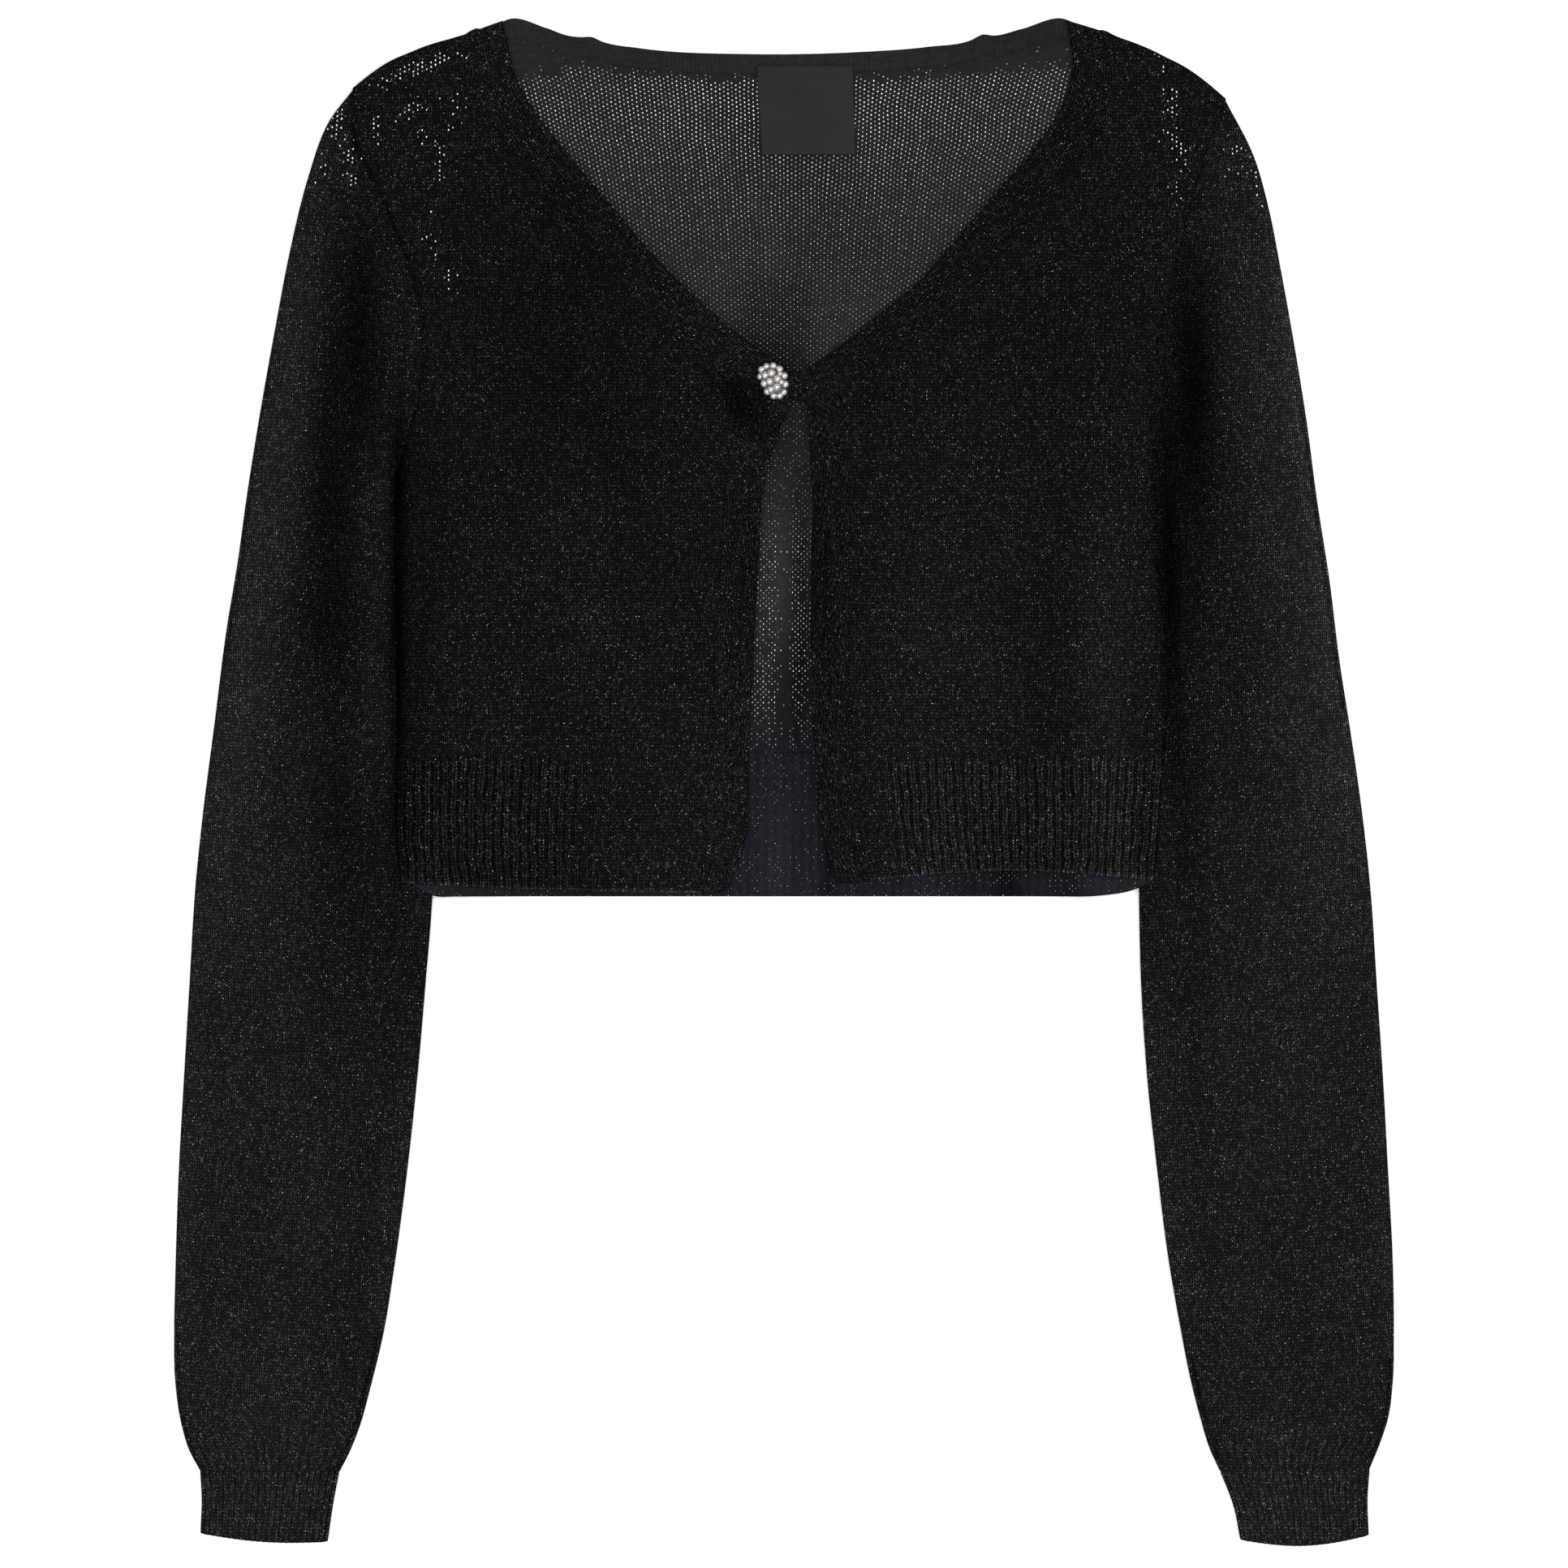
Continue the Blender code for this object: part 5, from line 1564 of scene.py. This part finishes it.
def add_cuff(side):
    rows = fine_rows(CUFF[side], CUFF_SPACING)
    first = rows[0]
    rows[0] = first._replace(out_y=first.out_y + CUFF_TUCK, in_y=first.in_y + CUFF_TUCK)
    rings = rings_of(rows, cuff_ring)
    x, y = rings[0][..., 0], rings[0][..., 1]
    count = (np.arange(x.shape[1]) - len(FOLD_ROUNDING) - 1) / RIB_COLUMNS + 0 * x
    values = {"tone": CUFF_GAIN[side] * painted_shading_gain(SLEEVE_SHADE, x, y), "rib": CUFF_FURROW_SHADE}
    uv = cuff_plan(count, y, side, narrow=1.0)
    lay_tube(f"knit_cuff_{side}", f"cuff_{side}", rows, rings, uv, values, [OUTSIDE])


def add_label():
    low_x, low_y, high_x, high_y = LABEL_CORNERS
    corners = np.array([
        [(low_x, high_y), (high_x, high_y)],
        [(low_x + LABEL_SLANT, low_y), (high_x + LABEL_SLANT / 2, low_y)],
    ])
    grid = refine(corners, LABEL_SPACING, LABEL_SPACING)
    under = back_under(grid[..., 0], grid[..., 1]) + NECKBAND_WALL + GAP
    heights = (under, under + LABEL_WALL)
    lay("satin_label", "neck_label", grid, heights, grid, {}, [SATIN])


def mesh_object(bm, name, finish):
    """A smooth mesh object of one finish."""
    mesh = bpy.data.meshes.new(name)
    bm.to_mesh(mesh)
    bm.free()
    mesh.materials.append(bpy.data.materials[finish])
    mesh.shade_smooth()
    return link_object(name, mesh)


def band_top(side):
    """Height of a band's ridges under the button."""
    return float(front_under(side, *BUTTON_AT)) + WALL + BAND_RIDGE_RISE


def button_dome():
    """The metal between the beads, flat at the back."""
    width, length, height = BUTTON_DOME
    dome = bmesh.new()
    around, up = DOME_SEGMENTS
    bmesh.ops.create_uvsphere(dome, u_segments=around, v_segments=up, radius=1)
    bmesh.ops.scale(dome, vec=(width / 2, length / 2, height * DOME_SHARE), verts=dome.verts[:])
    for vert in dome.verts:
        vert.co.z = max(vert.co.z, height * DOME_CUT)
    return dome


def button_beads(bead_size):
    width, length, height = BUTTON_DOME
    beads = bmesh.new()
    for bead in BEADS:
        reach = math.hypot(bead.x / width, bead.y / length) * 2
        level = height * math.sqrt(max(0.0, 1 - reach ** 2)) * bead.rise
        radius = bead_size / MM / 2 * bead.size
        made = bmesh.ops.create_icosphere(beads, subdivisions=BEAD_DETAIL, radius=radius)
        bmesh.ops.translate(beads, vec=(bead.x, bead.y, level + BEAD_SEAT), verts=made["verts"])
    return beads


def button_shank(base):
    """The shank, from the left band up into the dome."""
    reach = base - band_top("left") - GAP
    shank = bmesh.new()
    bmesh.ops.create_cone(
        shank, cap_ends=True, segments=SHANK_SEGMENTS, radius1=SHANK_RADIUS, radius2=SHANK_RADIUS,
        depth=reach + SHANK_SET,
    )
    bmesh.ops.translate(shank, vec=(0, 0, (SHANK_SET - reach) / 2), verts=shank.verts[:])
    return shank


def add_button(settings):
    base = band_top("right") + BEAD / 2
    place = Matrix.Translation(Vector((*BUTTON_AT, base)) * MM)
    place = place @ Matrix.Rotation(BUTTON_TILT, 4, "Z") @ Matrix.Scale(MM, 4)
    parts = (
        ("button_dome", button_dome(), METAL),
        ("button_beads", button_beads(settings.bead_size), PEARLS),
        ("button_shank", button_shank(base), METAL),
    )
    for name, bm, finish in parts:
        piece = mesh_object(bm, name, finish)
        piece.data.transform(place)
        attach(piece, "root")
        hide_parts("button")


# ---- stage ----


def area_light(name, at, size, power):
    """A round lamp that points at the middle of the floor."""
    light = bpy.data.lights.new(name, "AREA")
    light.shape = "DISK"
    light.size = size
    light.energy = power
    made = link_object(name, light)
    made.location = at
    made.rotation_euler = (-Vector(at)).to_track_quat("-Z", "Y").to_euler()


def add_floor(colour):
    Finish(GROUND).set(Base_Color=colour, Roughness=0.9)
    bm = bmesh.new()
    bmesh.ops.create_grid(bm, x_segments=1, y_segments=1, size=FLOOR_SIZE)
    floor = mesh_object(bm, "floor", GROUND)
    floor.location.z = -FLOOR_DROP


def add_world(strength):
    world = bpy.data.worlds.new("studio")
    world.use_nodes = True
    background = world.node_tree.nodes["Background"]
    background.inputs["Color"].default_value = (1.0, 1.0, 1.0, 1.0)
    background.inputs["Strength"].default_value = strength
    bpy.context.scene.world = world


def add_camera(frame_width):
    """A camera straight above, which sees the frame's width at the garment."""
    camera = bpy.data.cameras.new("camera")
    camera.lens = LENS
    camera.sensor_width = SENSOR
    made = link_object("camera", camera)
    distance = frame_width * LENS / SENSOR
    made.location = (0.0, CAMERA_Y * MM, distance + GARMENT_MIDDLE * MM)
    bpy.context.scene.camera = made


def add_stage(settings):
    bpy.context.scene.view_settings.view_transform = "Standard"
    add_floor(tuple(settings.floor_colour))
    add_world(settings.world_strength)
    area_light("overhead", OVERHEAD_AT, OVERHEAD_SIZE, settings.overhead_power)
    for name, at in SOFTBOXES.items():
        area_light(name, at, SOFTBOX_SIZE, settings.key_power)
    add_camera(settings.frame_width)


# ---- add-on ----


class KnitSettings(PropertyGroup):
    outer_colour: FloatVectorProperty(
        name="Outside", description="Colour of the knit's outside", subtype="COLOR", size=3,
        default=(0.0071, 0.0071, 0.0073), min=0, max=1,
    )
    # the inside's charcoal is partly the knit's own colour and partly painted light shining through the
    # thin knit from behind
    inner_colour: FloatVectorProperty(
        name="Inside", description="Colour of the knit's inside", subtype="COLOR", size=3,
        default=(0.0155, 0.0155, 0.016), min=0, max=1,
    )
    # painted light: the gaps show the pale ground as brightly lit, though under the cloth it lies in shade
    painted_ground_colour: FloatVectorProperty(
        name="Pinholes", description="Colour of the pale ground seen through the knit's gaps",
        subtype="COLOR", size=3, default=(0.85, 0.85, 0.85), min=0, max=1,
    )
    hem_colour: FloatVectorProperty(
        name="Inside of the hem", description="Colour of the inside of the back's hem",
        subtype="COLOR", size=3, default=(0.0122, 0.0129, 0.0168), min=0, max=1,
    )
    glint_share: FloatProperty(
        name="Glints", description="Share of the spots that catch the light", default=0.055,
        min=0, max=1, subtype="FACTOR",
    )
    relief: FloatProperty(
        name="Relief", description="Height of the stitches' relief", default=0.0005, min=0,
        max=0.002, unit="LENGTH", precision=5,
    )


class LabelSettings(PropertyGroup):
    colour: FloatVectorProperty(
        name="Colour", description="Colour of the label's satin", subtype="COLOR", size=3,
        default=(0.0158, 0.0158, 0.0161), min=0, max=1,
    )
    weave_pitch: FloatProperty(
        name="Weave", description="Distance between the satin's floats, in millimetres",
        default=0.5, min=0.1, max=3,
    )


class ButtonSettings(PropertyGroup):
    bead_size: FloatProperty(
        name="Bead", description="Diameter of a bead", default=0.0032, min=0.001, max=0.0035,
        unit="LENGTH", precision=4,
    )
    bead_colour: FloatVectorProperty(
        name="Beads", description="Colour of the beads", subtype="COLOR", size=3,
        default=(0.46, 0.455, 0.445), min=0, max=1,
    )
    metal_colour: FloatVectorProperty(
        name="Setting", description="Colour of the metal between the beads", subtype="COLOR",
        size=3, default=(0.15, 0.118, 0.088), min=0, max=1,
    )


class StudioSettings(PropertyGroup):
    floor_colour: FloatVectorProperty(
        name="Floor", description="Colour of the floor", subtype="COLOR", size=3,
        default=(0.9, 0.9, 0.9), min=0, max=1,
    )
    frame_width: FloatProperty(
        name="Frame width", description="Width of what the camera sees, at the garment",
        default=0.6569, min=0.1, max=3, unit="LENGTH",
    )
    world_strength: FloatProperty(
        name="Ambient", description="Strength of the even light all round", default=0.75, min=0, max=5,
    )
    overhead_power: FloatProperty(
        name="Overhead", description="Power of the large lamp overhead", default=28.0, min=0, max=500,
        unit="POWER",
    )
    key_power: FloatProperty(
        name="Softboxes", description="Power of each of the two softboxes", default=7.0, min=0, max=500,
        unit="POWER",
    )


class CardiganOperator:
    """What the operators share."""

    bl_options = {"REGISTER", "UNDO"}


class CARDIGAN_OT_stage(CardiganOperator, Operator):
    """Set up the floor, the lights and the camera"""

    bl_idname = "cardigan.stage"
    bl_label = "Stage"

    def execute(self, context):
        add_stage(context.scene.cardigan_studio)
        return {"FINISHED"}


class CARDIGAN_OT_finishes(CardiganOperator, Operator):
    """Make the materials of the knit, the label and the button"""

    bl_idname = "cardigan.finishes"
    bl_label = "Finishes"

    def execute(self, context):
        knit = context.scene.cardigan_knit
        outer, inner = tuple(knit.outer_colour), tuple(knit.inner_colour)
        knit_finish(OUTSIDE, outer, knit)
        knit_finish(BAND_OUTSIDE, outer, knit, BAND_WALE, BAND_COURSE, BAND_WANDER)
        purl_finish(INSIDE, inner, knit)
        satin_finish(SATIN, context.scene.cardigan_label)
        button = context.scene.cardigan_button
        pearl_finish(PEARLS, tuple(button.bead_colour))
        metal_finish(METAL, tuple(button.metal_colour))
        return {"FINISHED"}


class CARDIGAN_OT_back(CardiganOperator, Operator):
    """Knit the back, its hem rib and the back neckband"""

    bl_idname = "cardigan.back"
    bl_label = "Back"

    def execute(self, context):
        add_back()
        add_back_neckband()
        add_back_hem()
        return {"FINISHED"}


class CARDIGAN_OT_fronts(CardiganOperator, Operator):
    """Knit both fronts, with their bands and hem ribs"""

    bl_idname = "cardigan.fronts"
    bl_label = "Fronts"

    def execute(self, context):
        for side in ("right", "left"):
            add_front(side)
            add_hem(side)
            add_band(side)
        return {"FINISHED"}


class CARDIGAN_OT_sleeves(CardiganOperator, Operator):
    """Knit both sleeves and their cuffs"""

    bl_idname = "cardigan.sleeves"
    bl_label = "Sleeves"

    def execute(self, context):
        for side in ("right", "left"):
            add_sleeve(side)
            add_cuff(side)
        return {"FINISHED"}


class CARDIGAN_OT_label(CardiganOperator, Operator):
    """Lay the bare label inside the back neck"""

    bl_idname = "cardigan.label"
    bl_label = "Label"

    def execute(self, context):
        add_label()
        return {"FINISHED"}


class CARDIGAN_OT_button(CardiganOperator, Operator):
    """Make the pearl button"""

    bl_idname = "cardigan.button"
    bl_label = "Button"

    def execute(self, context):
        add_button(context.scene.cardigan_button)
        return {"FINISHED"}


STEPS = ("finishes", "back", "fronts", "sleeves", "label", "button", "stage")
GROUPS = (
    ("cardigan_knit", KnitSettings),
    ("cardigan_label", LabelSettings),
    ("cardigan_button", ButtonSettings),
    ("cardigan_studio", StudioSettings),
)


class CARDIGAN_PT_panel(Panel):
    """The cardigan's settings and steps"""

    bl_label = "Cardigan"
    bl_idname = "CARDIGAN_PT_panel"
    bl_space_type = "VIEW_3D"
    bl_region_type = "UI"
    bl_category = "Cardigan"

    def draw(self, context):
        for name, group in GROUPS:
            box = self.layout.box()
            for key in group.__annotations__:
                box.prop(getattr(context.scene, name), key)
        for step in STEPS:
            self.layout.operator(f"cardigan.{step}")


OPERATORS = (
    CARDIGAN_OT_finishes,
    CARDIGAN_OT_back,
    CARDIGAN_OT_fronts,
    CARDIGAN_OT_sleeves,
    CARDIGAN_OT_label,
    CARDIGAN_OT_button,
    CARDIGAN_OT_stage,
)


def register():
    for name, group in GROUPS:
        bpy.utils.register_class(group)
        setattr(bpy.types.Scene, name, PointerProperty(type=group))
    for cls in (*OPERATORS, CARDIGAN_PT_panel):
        bpy.utils.register_class(cls)


def unregister():
    for cls in reversed((*OPERATORS, CARDIGAN_PT_panel)):
        bpy.utils.unregister_class(cls)
    for name, group in reversed(GROUPS):
        delattr(bpy.types.Scene, name)
        bpy.utils.unregister_class(group)


def main():
    register()
    for step in STEPS:
        getattr(bpy.ops.cardigan, step)()


if __name__ == "__main__":
    main()
